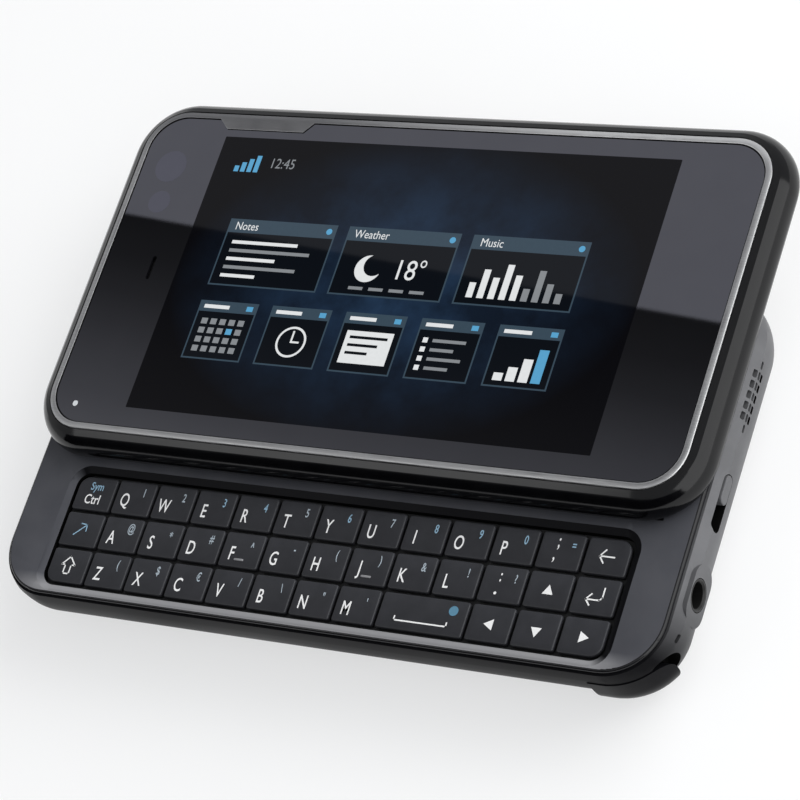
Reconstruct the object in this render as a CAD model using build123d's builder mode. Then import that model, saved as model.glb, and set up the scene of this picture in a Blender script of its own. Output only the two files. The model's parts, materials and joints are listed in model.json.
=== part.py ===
from build123d import *
import os
from math import asin, cos, radians, sin

os.makedirs("parts", exist_ok=True)

# Slider phone, slid open. Millimetres. X runs along the long side, +Y points away
# from the user, +Z up through the keyboard. The origin is the middle of the flat
# underside of the base.

# ---------------------------------------------------------------- driving sizes
# whole phone
body_length = 110.2
body_depth = 59.6
corner_radius = 9.6
base_height = 12.7
lid_height = 5.15
lid_gap = 0.15
slide_travel = 22.0
fit_gap = 0.1

# base shell
belt_land = 1.3
belt_drop = 2.3
cap_thickness = 0.65
rim_inset_side = 1.1
rim_inset_front = 0.25
rim_wall = 1.4
floor_low = 1.0
floor_high = 2.1
shell_wall = 2.5

# keyboard deck and keys
cap_reveal = 0.35
cap_edge_round = 0.45
plug_thickness = 0.85
key_columns = 13
key_rows = 3
key_side_margin = 9.34
key_pitch_y = 5.825
key_gap = 0.5
key_travel = 0.3
dome_gap = 0.05
key_recess = 0.35
key_edge_round = 0.22
key_corner_round = 0.35
field_corner_round = 1.9
field_front_margin = 2.425
well_margin = 0.3
well_bevel_width = 1.0
well_bevel_drop = 0.45
keypad_thickness = 0.4
keypad_margin = 1.3
bar_length = 1.6
bar_width = 0.35
bar_height = 0.12

# slide
rail_width = 4.4
rail_height = 1.2
rail_sheet = 0.3
rail_slot = 1.9
rail_side_margin = 8.5
rail_front_margin = 3.1
rail_rear_margin = 3.8
rail_bed = 0.3
runner_neck = 1.3
runner_foot = 3.2
runner_foot_height = 0.35
runner_end_gap = 0.3
plate_thickness = 0.4
plate_margin = 5.1
plate_radius = 5.0

# lid shell
lid_belt = 1.55
lid_tuck = 0.7
facet_width = 0.95
facet_drop = 0.45
facet_land = 0.06
shoulder_width = 1.65
bezel_stand = 0.1
lid_floor = 0.5
lid_rib = 1.2
pocket_round = 3.0
arc_steps = 7

# bezel, window, display
bezel_width = 0.95
bezel_height = 1.1
bezel_radius = 6.6
bezel_chamfer = 0.15
window_thickness = 0.7
window_recess = 0.15
window_seam = 0.12
tab_inset = 12.1
tab_length = 16.9
tab_slant_left = 1.8
tab_slant_right = 1.5
tab_depth = 1.7
display_left_field = 10.73
display_right_field = 10.93
display_gap = 0.13
display_round = 0.6
ledge_width = 1.3

# ear side of the lid
strip_gap = 0.53
strip_width = 7.4
strip_thickness = 0.6
strip_inset = 5.73
front_camera_radius = 2.7
front_camera_inset = 7.23
light_guide_radius = 0.5
light_guide_inset_x = 4.03
light_guide_inset_y = 1.63
ear_slot_width = 0.7
ear_slot_length = 3.9
ear_slot_inset = 8.43
ear_slot_offset = 0.1
earpiece_width = 3.6
earpiece_length = 9.0
strip_round = 1.0

# battery and its cover
cover_margin = 0.6
cover_overlap = 3.6
cover_radius = 3.0
battery_end_gap = 7.1
battery_side_gap = 23.6
battery_board_gap = 0.8
battery_gap = 0.3
bay_wall = 1.0
battery_round = 0.8

# main board
board_drop = 5.7
board_thickness = 0.8
board_end_gap = 3.9
board_rear_gap = 3.0
board_front_gap = 10.6
board_radius = 6.0
post_radius = 1.6
post_inset_x = 9.0
post_inset_y = 4.0
can_height = 2.1
can_length = 27.0
can_depth = 18.0
can_left_x = -24.0
can_right_x = 14.0
can_shift_y = 4.2
notch_margin = 0.4
post_jack_gap = 8.2

# AV jack
jack_from_front = 14.5
jack_drop = 3.85
jack_bore_radius = 1.8
jack_mouth_radius = 2.05
jack_mouth_depth = 0.25
jack_collar_radius = 2.25
jack_corner = 0.4
jack_body_width = 5.4
jack_body_length = 13.9
jack_back_wall = 0.8
jack_top_wall = 0.1
jack_bottom_wall = 0.5
boss_length = 8.7
boss_height = 5.5
boss_drop = 0.2
boss_round = 2.4

# USB socket and loudspeakers
usb_from_front = 15.8
usb_width = 7.5
usb_height = 2.6
usb_depth = 5.6
usb_shell = 0.3
usb_set_back = 0.5
usb_corner = 0.5
usb_tongue_width = 4.6
usb_tongue_height = 0.7
usb_tongue_back = 0.8
speaker_width = 4.6
speaker_length = 12.4
speaker_height = 2.8
grille_from_rear = 16.2
grille_drop = 2.65
grille_rows = 5
grille_per_row = 3
grille_pitch_y = 1.6
grille_pitch_z = 0.78
grille_hole_y = 1.15
grille_hole_z = 0.6
grille_hole_round = 0.2
mic_from_front = 7.5
mic_drop = 2.2
mic_length = 1.3
mic_height = 0.5
mic_round = 0.24

# lock switch
lock_shift = 1.35
lock_drop = 3.0
lock_slot_length = 8.4
lock_slot_height = 2.3
lock_travel = 3.9
lock_clearance = 0.15
lock_proud = 0.1
lock_round = 1.0
lock_edge_round = 0.2
lock_flange_low = 0.6
flange_thickness = 0.5
flange_overlap = 0.8
flange_gap = 0.08

# keys on the rear edge
edge_key_drop = 4.0
edge_key_height = 2.6
edge_key_clearance = 0.15
edge_key_proud = 0.4
edge_key_round = 0.9
edge_key_edge = 0.25
volume_from_left = 28.1
volume_length = 18.0
volume_slack = 0.35
power_from_right = 53.1
power_length = 9.0
camera_key_from_right = 18.1
camera_key_length = 9.0
flange_room = 0.4
flange_clear = 0.1

# stylus
stylus_from_front = 3.3
stylus_z = 6.0
stylus_radius = 1.7
stylus_clearance = 0.1
stylus_from_left = 13.1
stylus_cone = 5.0
stylus_tip_radius = 0.5
silo_wall = 0.75
silo_end_gap = 0.3
head_length = 11.6
head_from_front = 5.0
head_low = 0.6
head_drop = 2.95
head_width = 12.0
head_section_round = 2.6
head_gap = 0.12
head_grow = 0.15
head_bottom_round = 6.2
notch_radius = 2.5
notch_shift_y = -1.1
notch_drop = 4.8
notch_depth = 2.8

# camera corner of the underside
stand_from_right = 10.1
stand_from_flat = 4.2
plinth_high = 3.2
stand_end_gap = 18.1
stand_depth = 25.0
stand_bar = 3.6
stand_radius = 4.0
stand_inner_radius = 1.5
stand_thickness = 1.0
stand_gap = 0.15
barrel_extra = 0.6
hinge_inset = 0.95
hinge_pin_radius = 0.45
hinge_pin_length = 0.9
hinge_clearance = 0.06
hinge_wall = 0.8
finger_length = 9.0
finger_depth = 1.3
finger_round = 0.6
cover_side_margin = 0.88
lens_cover_depth = 12.6
lens_cover_face = 0.4
lens_cover_flange = 0.4
lens_cover_lip = 0.8
lens_cover_share = 0.554
lens_cover_radius = 1.5
grip_count = 5
grip_pitch = 0.9
grip_width = 0.4
grip_depth = 0.15
grip_length = 7.0
grip_x = 5.0
cover_gap = 0.12
lens_radius = 3.0
lens_wall = 0.6
lens_shift_extra = 0.1
flash_radius = 0.9
flash_offset = 4.6
camera_block = 10.5
camera_board_gap = 0.4
lens_recess = 0.45
lens_set_back = 0.03

# --------------------------------------------------------------- derived sizes
side_x = body_length / 2
front_y = body_depth / 2
lid_y = slide_travel
big = 2 * body_length

# heights
lid_bottom = base_height + lid_gap
lid_top = lid_bottom + lid_height
rim_height = base_height - cap_thickness
plug_low = rim_height - plug_thickness
belt_height = base_height - belt_drop
bottom_round = belt_height - belt_land
cavity_round = bottom_round - shell_wall
board_low = base_height - board_drop
board_top = board_low + board_thickness
battery_height = board_low - floor_low - battery_board_gap
jack_z = base_height - jack_drop
grille_z = base_height - grille_drop
mic_z = base_height - mic_drop
lock_z = base_height - lock_drop
edge_key_z = base_height - edge_key_drop
head_high = base_height - head_drop
notch_z = base_height - notch_drop
usb_z = board_top + usb_height / 2

# base shell
rim_length = body_length - 2 * rim_inset_side
rim_depth = body_depth - 2 * rim_inset_front
rim_radius = corner_radius - rim_inset_side
cavity_length = rim_length - 2 * rim_wall
cavity_depth = rim_depth - 2 * rim_wall
cavity_radius = rim_radius - rim_wall
wall_inner_x = cavity_length / 2
wall_inner_y = cavity_depth / 2
flat_x = side_x - bottom_round
flat_y = front_y - bottom_round

# key field and its well
key_pitch_x = (body_length - 2 * key_side_margin) / key_columns
field_length = key_columns * key_pitch_x
field_depth = key_rows * key_pitch_y
field_rear = field_front_margin + field_depth - front_y
field_y = field_rear - field_depth / 2
well_length = field_length + 2 * well_margin
well_depth = field_depth + 2 * well_margin
well_radius = field_corner_round + well_margin
key_top = base_height - key_recess
key_low = plug_low + key_travel + dome_gap
keypad_rear = field_rear + keypad_margin
keypad_front = 2 * fit_gap - wall_inner_y

# slide
rail_centre_x = side_x - rail_side_margin
rail_front = field_rear + rail_front_margin
rail_rear = front_y - rail_rear_margin
rail_length = rail_rear - rail_front
rail_y = (rail_rear + rail_front) / 2
rail_low = base_height - fit_gap - rail_height
rail_top = rail_low + rail_height
runner_length = rail_length - slide_travel - 2 * runner_end_gap
runner_y = rail_rear - runner_end_gap - runner_length / 2
plate_top = lid_bottom + plate_thickness
lid_floor_top = plate_top + lid_floor

# lid, bezel and window
bezel_top = lid_top
case_top = lid_top - bezel_stand
facet_low = case_top - facet_drop
lid_belt_z = lid_bottom + lid_belt
seat_inset = facet_width + shoulder_width
seat_length = body_length - 2 * seat_inset
seat_depth = body_depth - 2 * seat_inset
bezel_length = seat_length - 2 * fit_gap
bezel_depth = seat_depth - 2 * fit_gap
bezel_low = bezel_top - bezel_height
glass_length = bezel_length - 2 * bezel_width - 2 * window_seam
glass_depth = bezel_depth - 2 * bezel_width - 2 * window_seam
glass_radius = bezel_radius - bezel_width
window_top = bezel_top - window_recess
window_low = window_top - window_thickness
pocket_length = glass_length - 2 * ledge_width
pocket_depth = glass_depth - 2 * ledge_width
glass_left = -glass_length / 2
tab_left = tab_inset - bezel_length / 2
tab_right = tab_left + tab_length
tab_rear = lid_y + bezel_depth / 2 - bezel_width

# display and the parts beside it
display_length = glass_length - display_left_field - display_right_field
display_depth = pocket_depth - 2 * display_gap
display_x = (display_left_field - display_right_field) / 2
strip_length = pocket_depth - 2 * strip_gap
strip_x = glass_left + strip_inset
front_camera_offset = pocket_depth / 2 - front_camera_inset
light_guide_x = glass_left + light_guide_inset_x
light_guide_offset = light_guide_inset_y - pocket_depth / 2
ear_slot_x = glass_left + ear_slot_inset

# battery bay
battery_length = body_length / 2 - battery_end_gap
battery_depth = body_depth - battery_side_gap
bay_length = battery_length + 2 * battery_gap
bay_depth = battery_depth + 2 * battery_gap
cover_length = battery_length + cover_overlap
cover_depth = 2 * (flat_y - cover_margin)
cover_x = cover_margin - flat_x + cover_length / 2

# AV jack, microphone, loudspeakers and lock switch along the right wall
jack_y = jack_from_front - front_y
jack_back = side_x - jack_body_length
jack_low = jack_z - jack_bore_radius - jack_bottom_wall
jack_high = jack_z + jack_bore_radius + jack_top_wall
mic_y = mic_from_front - front_y
usb_y = usb_from_front - front_y
grille_y = front_y - grille_from_rear
lock_y = (jack_y + grille_y) / 2 - lock_shift
knob_length = lock_slot_length - lock_travel - 2 * lock_clearance
knob_y = lock_y + (lock_slot_length - knob_length) / 2 - lock_clearance
knob_low = lock_z - lock_slot_height / 2 + lock_clearance
flange_x = wall_inner_x - flange_gap

# keys on the rear edge
volume_x = volume_from_left - side_x
power_x = side_x - power_from_right
camera_key_x = side_x - camera_key_from_right
edge_key_slots = [
    (volume_x, volume_length),
    (power_x, power_length),
    (camera_key_x, camera_key_length),
]

# main board
board_length = body_length - 2 * board_end_gap
board_rear = front_y - board_rear_gap
board_front = board_front_gap - front_y
board_y = (board_rear + board_front) / 2
can_y = board_y + can_shift_y
post_x = board_length / 2 - post_inset_x
post_places = [
    (-post_x, board_rear - post_inset_y),
    (post_x, board_rear - post_inset_y),
    (jack_back - post_jack_gap, board_front + post_inset_y),
]

# stylus
stylus_y = stylus_from_front - front_y
stylus_tip_x = stylus_from_left - side_x
stylus_bore = stylus_radius + stylus_clearance
head_start_x = side_x - head_length
head_rear_y = head_from_front - front_y
head_y = head_rear_y - head_width / 2
head_z = (head_low + head_high) / 2
head_box_left = head_start_x - head_gap - silo_wall
head_box_rear = head_rear_y + head_gap + silo_wall

# camera corner
stand_length = body_length / 2 - stand_end_gap
stand_right = side_x - stand_from_right
stand_left = stand_right - stand_length
stand_top = fit_gap + stand_thickness
camera_x = (stand_left + stand_right) / 2
camera_y = flat_y - stand_from_flat - stand_depth / 2
hinge_y = camera_y + stand_depth / 2 - hinge_inset
barrel_radius = (stand_thickness + barrel_extra) / 2
hinge_z = fit_gap + barrel_radius
groove_length = stand_length - 2 * (stand_bar + cover_side_margin)
cover_run = groove_length - 2 * cover_gap
lens_cover_length = cover_run * lens_cover_share
lens_cover_travel = cover_run - lens_cover_length
cover_flange_low = fit_gap + lens_cover_face
groove_low = cover_flange_low - cover_gap
groove_top = cover_flange_low + lens_cover_flange + cover_gap
lens_x = camera_x - lens_cover_travel / 2 - lens_shift_extra
camera_block_height = board_low - plinth_high - camera_board_gap


# ------------------------------------------------------------- shared building
def rounded_block(length, depth, radius, low, high, centre=(0, 0), mode=Mode.ADD):
    """Upright block with rounded corners between two heights."""
    with BuildSketch(Plane.XY.offset(low)) as outline:
        with Locations(centre):
            RectangleRounded(length, depth, radius)
    extrude(outline.sketch, amount=high - low, mode=mode)


def square_block(length, depth, low, high, centre=(0, 0), mode=Mode.ADD):
    """Upright block with sharp corners between two heights."""
    with BuildSketch(Plane.XY.offset(low)) as outline:
        with Locations(centre):
            Rectangle(length, depth)
    extrude(outline.sketch, amount=high - low, mode=mode)


def rod_x(radius, y, z, left, right, mode=Mode.ADD):
    """Round rod along X."""
    with BuildSketch(Plane.YZ.offset(left)) as outline:
        with Locations((y, z)):
            Circle(radius)
    extrude(outline.sketch, amount=right - left, mode=mode)


def slot_x(width, height, radius, y, z, left, right, mode=Mode.ADD):
    """Rounded bar along X: width along Y, height along Z."""
    with BuildSketch(Plane.YZ.offset(left)) as outline:
        with Locations((y, z)):
            RectangleRounded(width, height, radius)
    extrude(outline.sketch, amount=right - left, mode=mode)


def slot_y(width, height, radius, x, z, near, far, mode=Mode.ADD):
    """Rounded bar along Y: width along X, height along Z."""
    with BuildSketch(Plane.XZ.offset(-far)) as outline:
        with Locations((x, z)):
            RectangleRounded(width, height, radius)
    extrude(outline.sketch, amount=far - near, mode=mode)


def rod_z(radius, x, y, low, high, mode=Mode.ADD):
    """Upright round rod."""
    with BuildSketch(Plane.XY.offset(low)) as outline:
        with Locations((x, y)):
            Circle(radius)
    extrude(outline.sketch, amount=high - low, mode=mode)


def cone_x(left_radius, right_radius, y, z, left, right, mode=Mode.ADD):
    """Cone along X."""
    with BuildSketch(Plane.YZ.offset(left)) as near_end:
        with Locations((y, z)):
            Circle(left_radius)
    with BuildSketch(Plane.YZ.offset(right)) as far_end:
        with Locations((y, z)):
            Circle(right_radius)
    loft([near_end.sketch, far_end.sketch], ruled=True, mode=mode)


def stacked_shell(sections):
    """Shell built from (height, inset) outlines of the phone's plan shape."""
    outlines = []
    for height, inset in sections:
        with BuildSketch(Plane.XY.offset(height)) as outline:
            with Locations((0, lid_y)):
                RectangleRounded(
                    body_length - 2 * inset,
                    body_depth - 2 * inset,
                    corner_radius - inset,
                )
        outlines.append(outline.sketch)
    loft(outlines, ruled=True)


def arc_sections(belt, end, inset):
    """Outlines along an arc that leaves the belt upright and ends at the inset."""
    rise = abs(end - belt)
    radius = (rise**2 + inset**2) / (2 * inset)
    sweep_angle = asin(rise / radius)
    steps = range(1, arc_steps + 1)
    way = (end - belt) / rise
    return [
        (
            belt + way * radius * sin(sweep_angle * step / arc_steps),
            radius * (1 - cos(sweep_angle * step / arc_steps)),
        )
        for step in steps
    ]


def outer_base(grow, round_radius, low):
    """Base outline up to its rim, rounded into the underside."""
    rounded_block(
        body_length + 2 * grow, body_depth + 2 * grow, corner_radius + grow, low, belt_height
    )
    fillet(edges_at_bottom(), round_radius)
    with BuildSketch(Plane.XY.offset(belt_height)) as belt:
        RectangleRounded(body_length + 2 * grow, body_depth + 2 * grow, corner_radius + grow)
    with BuildSketch(Plane.XY.offset(rim_height)) as rim:
        RectangleRounded(rim_length, rim_depth, rim_radius)
    loft([belt.sketch, rim.sketch], ruled=True)


def edges_at_bottom():
    """Edges of the lowest level of the part under construction."""
    return BuildPart._get_context().edges().group_by(Axis.Z)[0]


def write(piece, name):
    """Label a finished piece and write its STEP file."""
    piece.part.label = name
    export_step(piece.part, f"parts/{name}.step")


def head_bar(grow, left, mode):
    """Bar along X with the cross section of the stylus head."""
    slot_x(
        head_width + 2 * grow,
        head_high - head_low + 2 * grow,
        head_section_round + grow,
        head_y,
        head_z,
        left,
        big,
        mode,
    )


def stand_block(grow, low, high):
    """Kickstand outline up to its hinge line, solid."""
    length = stand_length + 2 * grow
    rounded_block(
        length, stand_depth + 2 * grow, stand_radius + grow, low, high, (camera_x, camera_y)
    )
    square_block(length, 2 * stand_radius, low, high, (camera_x, hinge_y - stand_radius))
    behind = (camera_x, hinge_y + stand_depth / 2)
    square_block(big, stand_depth, low, high, behind, Mode.SUBTRACT)


def tab_block(grow, low, high, mode):
    """Name tab that reaches from the bezel over the window's rear edge."""
    with BuildSketch(Plane.XY.offset(low)) as outline:
        with BuildLine():
            Polyline(
                (tab_left, tab_rear),
                (tab_left + tab_slant_left, tab_rear - tab_depth),
                (tab_right - tab_slant_right, tab_rear - tab_depth),
                (tab_right, tab_rear),
                (tab_right, tab_rear + bezel_width / 2),
                (tab_left, tab_rear + bezel_width / 2),
                close=True,
            )
        make_face()
        if grow > 0:
            offset(amount=grow, kind=Kind.INTERSECTION)
    extrude(outline.sketch, amount=high - low, mode=mode)


def edge_key(x, length, slack):
    """Key in the rear wall, held by a flange behind the wall."""
    flange_rear = wall_inner_y - slack
    flange_near = flange_rear - flange_thickness
    key_face = front_y + edge_key_proud
    slot_y(length, edge_key_height, edge_key_round, x, edge_key_z, flange_near, key_face)
    face_edges = BuildPart._get_context().edges().group_by(Axis.Y)[-1]
    fillet(face_edges, edge_key_edge)
    slot_y(
        length + 2 * flange_overlap,
        edge_key_height + 2 * flange_overlap,
        edge_key_round,
        x,
        edge_key_z,
        flange_near,
        flange_rear,
    )


# ------------------------------------------------------------------- base case
with BuildPart() as cavity:
    rounded_block(cavity_length, cavity_depth, cavity_radius, floor_high, base_height)
    fillet(cavity.edges().group_by(Axis.Z)[0], cavity_round)
    # rooms for the flanges of the three edge keys
    for x, length in edge_key_slots:
        square_block(
            length + 2 * flange_overlap + 2 * flange_room,
            2 * (wall_inner_y - board_rear),
            edge_key_z - edge_key_height / 2 - flange_overlap - flange_clear,
            plug_low,
            (x, board_rear),
        )
    # battery bay
    rounded_block(
        bay_length + 2 * bay_wall,
        bay_depth + 2 * bay_wall,
        bay_wall,
        floor_high,
        board_low,
        (cover_x, 0),
        Mode.SUBTRACT,
    )
    square_block(bay_length, bay_depth, floor_low, board_low, (cover_x, 0))
    # board posts
    for x, y in post_places:
        rod_z(post_radius, x, y, 0, board_low, Mode.SUBTRACT)
    # raised floor over the camera corner
    square_block(
        stand_length + 2 * (stand_gap + hinge_pin_length + hinge_wall),
        stand_depth + 2 * (stand_gap + hinge_wall),
        0,
        plinth_high,
        (camera_x, camera_y),
        Mode.SUBTRACT,
    )
    # tube of the stylus and the walls round its head
    rod_x(
        stylus_bore + silo_wall,
        stylus_y,
        stylus_z,
        stylus_tip_x - silo_end_gap - silo_wall,
        head_start_x,
        Mode.SUBTRACT,
    )
    square_block(
        side_x - head_box_left,
        front_y + head_box_rear,
        0,
        head_high + head_gap + silo_wall,
        ((side_x + head_box_left) / 2, (head_box_rear - front_y) / 2),
        Mode.SUBTRACT,
    )
    # rest under the jack
    square_block(
        jack_body_length,
        jack_body_width,
        0,
        jack_low,
        (side_x - jack_body_length / 2, jack_y),
        Mode.SUBTRACT,
    )
    square_block(
        wall_inner_x - jack_back,
        jack_body_width + 2 * fit_gap,
        jack_low,
        plug_low,
        ((wall_inner_x + jack_back) / 2, jack_y),
    )

with BuildPart() as stand_recess:
    stand_block(stand_gap, -floor_low, stand_top + stand_gap)
    square_block(
        stand_length + 2 * stand_gap,
        2 * (barrel_radius + stand_gap),
        -floor_low,
        hinge_z,
        (camera_x, hinge_y),
    )
    rod_x(
        barrel_radius + stand_gap,
        hinge_y,
        hinge_z,
        stand_left - stand_gap,
        stand_right + stand_gap,
    )
    rounded_block(
        stand_length - 2 * (stand_bar + stand_gap),
        stand_depth - 2 * (stand_bar + stand_gap),
        stand_inner_radius - stand_gap,
        -floor_low,
        stand_top + stand_gap,
        (camera_x, camera_y),
        Mode.SUBTRACT,
    )
    rod_x(
        hinge_pin_radius + hinge_clearance,
        hinge_y,
        hinge_z,
        stand_left - hinge_pin_length - stand_gap,
        stand_right + hinge_pin_length + stand_gap,
    )
    rounded_block(
        finger_length,
        2 * finger_depth,
        finger_round,
        -floor_low,
        stand_top,
        (camera_x, camera_y - stand_depth / 2),
    )

with BuildPart() as base_case:
    outer_base(0, bottom_round, 0)
    # flat boss round the jack
    slot_x(
        boss_length, boss_height, boss_round, jack_y, jack_z - boss_drop, wall_inner_x, side_x
    )
    add(cavity.part, mode=Mode.SUBTRACT)
    # seat of the battery cover
    rounded_block(
        cover_length + 2 * fit_gap,
        cover_depth + 2 * fit_gap,
        cover_radius + fit_gap,
        -floor_low,
        floor_low,
        (cover_x, 0),
        Mode.SUBTRACT,
    )
    add(stand_recess.part, mode=Mode.SUBTRACT)
    # guide of the lens cover, then the lens and flash openings above it
    rounded_block(
        groove_length,
        lens_cover_depth + 2 * cover_gap,
        lens_cover_radius,
        -floor_low,
        groove_top,
        (camera_x, camera_y),
        Mode.SUBTRACT,
    )
    rounded_block(
        groove_length,
        lens_cover_depth + 2 * (lens_cover_lip + cover_gap),
        lens_cover_radius,
        groove_low,
        groove_top,
        (camera_x, camera_y),
        Mode.SUBTRACT,
    )
    rod_z(lens_radius + fit_gap, lens_x, camera_y, groove_low, board_low, Mode.SUBTRACT)
    for side in (-1, 1):
        flash_y = camera_y + side * flash_offset
        rod_z(flash_radius + fit_gap, lens_x, flash_y, groove_low, board_low, Mode.SUBTRACT)
    # stylus bore, the place of its head and the fingernail notch beside it
    rod_x(
        stylus_bore, stylus_y, stylus_z, stylus_tip_x - silo_end_gap, head_start_x, Mode.SUBTRACT
    )
    head_bar(head_gap, head_start_x - head_gap, Mode.SUBTRACT)
    rod_x(
        notch_radius,
        head_rear_y + notch_shift_y,
        notch_z,
        side_x - notch_depth,
        big,
        Mode.SUBTRACT,
    )
    # right wall: jack, microphone and lock switch
    rod_x(jack_collar_radius + fit_gap, jack_y, jack_z, jack_back, big, Mode.SUBTRACT)
    slot_x(mic_length, mic_height, mic_round, mic_y, mic_z, head_box_left, big, Mode.SUBTRACT)
    slot_x(
        lock_slot_length,
        lock_slot_height,
        lock_round,
        lock_y,
        lock_z,
        jack_back,
        big,
        Mode.SUBTRACT,
    )
    # left wall: USB opening
    slot_x(
        usb_width + 2 * fit_gap,
        usb_height + 2 * fit_gap,
        usb_corner + fit_gap,
        usb_y,
        usb_z,
        -big,
        -jack_back,
        Mode.SUBTRACT,
    )
    # rear wall: openings of the edge keys
    for x, length in edge_key_slots:
        slot_y(
            length + 2 * edge_key_clearance,
            edge_key_height + 2 * edge_key_clearance,
            edge_key_round + edge_key_clearance,
            x,
            edge_key_z,
            board_rear,
            big,
            Mode.SUBTRACT,
        )
    # loudspeaker grilles in both side walls, with one lone slot past each end
    for side in (-1, 1):
        with BuildSketch(Plane.YZ.offset(side * wall_inner_x - flange_thickness * side)) as grille:
            with Locations((grille_y, grille_z)):
                with GridLocations(grille_pitch_y, grille_pitch_z, grille_rows, grille_per_row):
                    RectangleRounded(grille_hole_y, grille_hole_z, grille_hole_round)
                with GridLocations(grille_pitch_y * (grille_rows + 1), 0, 2, 1):
                    RectangleRounded(grille_hole_y, grille_hole_z, grille_hole_round)
        extrude(grille.sketch, amount=side * bottom_round, mode=Mode.SUBTRACT)
write(base_case, "base_case")


# -------------------------------------------------------------- keyboard deck
with BuildPart() as keyboard_deck:
    rounded_block(
        rim_length - 2 * cap_reveal,
        rim_depth - 2 * cap_reveal,
        rim_radius - cap_reveal,
        rim_height,
        base_height,
    )
    fillet(keyboard_deck.edges().group_by(Axis.Z)[-1], cap_edge_round)
    rounded_block(
        cavity_length - 2 * fit_gap,
        cavity_depth - 2 * fit_gap,
        cavity_radius - fit_gap,
        plug_low,
        rim_height,
    )
    # beds under the rails
    for side in (-1, 1):
        square_block(
            rail_width + 2 * (fit_gap + rail_sheet),
            rail_length + 2 * (fit_gap + rail_sheet),
            rail_low - rail_bed,
            rim_height,
            (side * rail_centre_x, rail_y),
        )
        square_block(
            rail_width + 2 * fit_gap,
            rail_length + 2 * fit_gap,
            rail_low,
            big,
            (side * rail_centre_x, rail_y),
            Mode.SUBTRACT,
        )
    # key well with its sloping rim
    rounded_block(
        well_length, well_depth, well_radius, 0, base_height, (0, field_y), Mode.SUBTRACT
    )
    with BuildSketch(Plane.XY.offset(base_height - well_bevel_drop)) as bevel_low:
        with Locations((0, field_y)):
            RectangleRounded(well_length, well_depth, well_radius)
    with BuildSketch(Plane.XY.offset(base_height)) as bevel_high:
        with Locations((0, field_y)):
            RectangleRounded(
                well_length + 2 * well_bevel_width,
                well_depth + 2 * well_bevel_width,
                well_radius + well_bevel_width,
            )
    loft([bevel_low.sketch, bevel_high.sketch], ruled=True, mode=Mode.SUBTRACT)
write(keyboard_deck, "keyboard_deck")

with BuildPart() as keypad_board:
    rounded_block(
        field_length + 2 * keypad_margin,
        keypad_rear - keypad_front,
        well_radius,
        plug_low - keypad_thickness,
        plug_low,
        (0, (keypad_rear + keypad_front) / 2),
    )
write(keypad_board, "keypad_board")


# ------------------------------------------------------------------------ keys
key_names = [
    ["ctrl", "q", "w", "e", "r", "t", "y", "u", "i", "o", "p", "semicolon", "backspace"],
    ["fn", "a", "s", "d", "f", "g", "h", "j", "k", "l", "colon", "up", "enter"],
    ["shift", "z", "x", "c", "v", "b", "n", "m", "space", "left", "down", "right"],
]
home_keys = ["f", "j"]
space_cells = 2
bar_offset = key_pitch_y / 4

for row, names in enumerate(key_names):
    row_y = field_rear - (row + 1 / 2) * key_pitch_y
    column = 0
    for name in names:
        cells = space_cells if name == "space" else 1
        key_x = (column + cells / 2 - key_columns / 2) * key_pitch_x
        column += cells
        with BuildPart() as key:
            rounded_block(
                cells * key_pitch_x - key_gap,
                key_pitch_y - key_gap,
                key_corner_round,
                key_low,
                key_top,
                (key_x, row_y),
            )
            rounded_block(
                field_length - key_gap,
                field_depth - key_gap,
                field_corner_round,
                key_low,
                key_top,
                (0, field_y),
                Mode.INTERSECT,
            )
            fillet(key.edges().group_by(Axis.Z)[-1], key_edge_round)
            if name in home_keys:
                square_block(
                    bar_length,
                    bar_width,
                    key_low,
                    key_top + bar_height,
                    (key_x, row_y - bar_offset),
                )
        write(key, f"key_{name}")


# --------------------------------------------------------- insides of the base
with BuildPart() as battery_cover:
    rounded_block(cover_length, cover_depth, cover_radius, 0, floor_low, (cover_x, 0))
write(battery_cover, "battery_cover")

with BuildPart() as battery:
    rounded_block(
        battery_length,
        battery_depth,
        battery_round,
        floor_low,
        floor_low + battery_height,
        (cover_x, 0),
    )
write(battery, "battery")

with BuildPart() as main_board:
    rounded_block(
        board_length,
        board_rear - board_front,
        board_radius,
        board_low,
        board_top,
        (0, board_y),
    )
    # room for the jack
    square_block(
        2 * (side_x - jack_back + notch_margin),
        2 * (jack_y + jack_body_width / 2 + notch_margin - board_front),
        board_low,
        board_top,
        (side_x, board_front),
        Mode.SUBTRACT,
    )
    # shielding cans
    for x in (can_left_x, can_right_x):
        square_block(can_length, can_depth, board_top, board_top + can_height, (x, can_y))
    # loudspeakers behind the grilles
    for side in (-1, 1):
        rounded_block(
            speaker_width,
            speaker_length,
            battery_round,
            board_top,
            board_top + speaker_height,
            (side * (wall_inner_x - 2 * fit_gap - speaker_width / 2), grille_y),
        )
    # USB socket
    usb_face = usb_set_back - side_x
    slot_x(usb_width, usb_height, usb_corner, usb_y, usb_z, usb_face, usb_face + usb_depth)
    slot_x(
        usb_width - 2 * usb_shell,
        usb_height - 2 * usb_shell,
        usb_corner - usb_shell / 2,
        usb_y,
        usb_z,
        usb_face,
        usb_face + usb_depth - usb_shell,
        Mode.SUBTRACT,
    )
    slot_x(
        usb_tongue_width,
        usb_tongue_height,
        usb_shell,
        usb_y,
        usb_z,
        usb_face + usb_tongue_back,
        usb_face + usb_depth,
    )
write(main_board, "main_board")

with BuildPart() as slide_rails:
    for side in (-1, 1):
        rail_place = (side * rail_centre_x, rail_y)
        square_block(rail_width, rail_length, rail_low, rail_top, rail_place)
        square_block(
            rail_width - 2 * rail_sheet,
            rail_length,
            rail_low + rail_sheet,
            rail_top - rail_sheet,
            rail_place,
            Mode.SUBTRACT,
        )
        square_block(
            rail_slot, rail_length, rail_top - rail_sheet, rail_top, rail_place, Mode.SUBTRACT
        )
write(slide_rails, "slide_rails")

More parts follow.
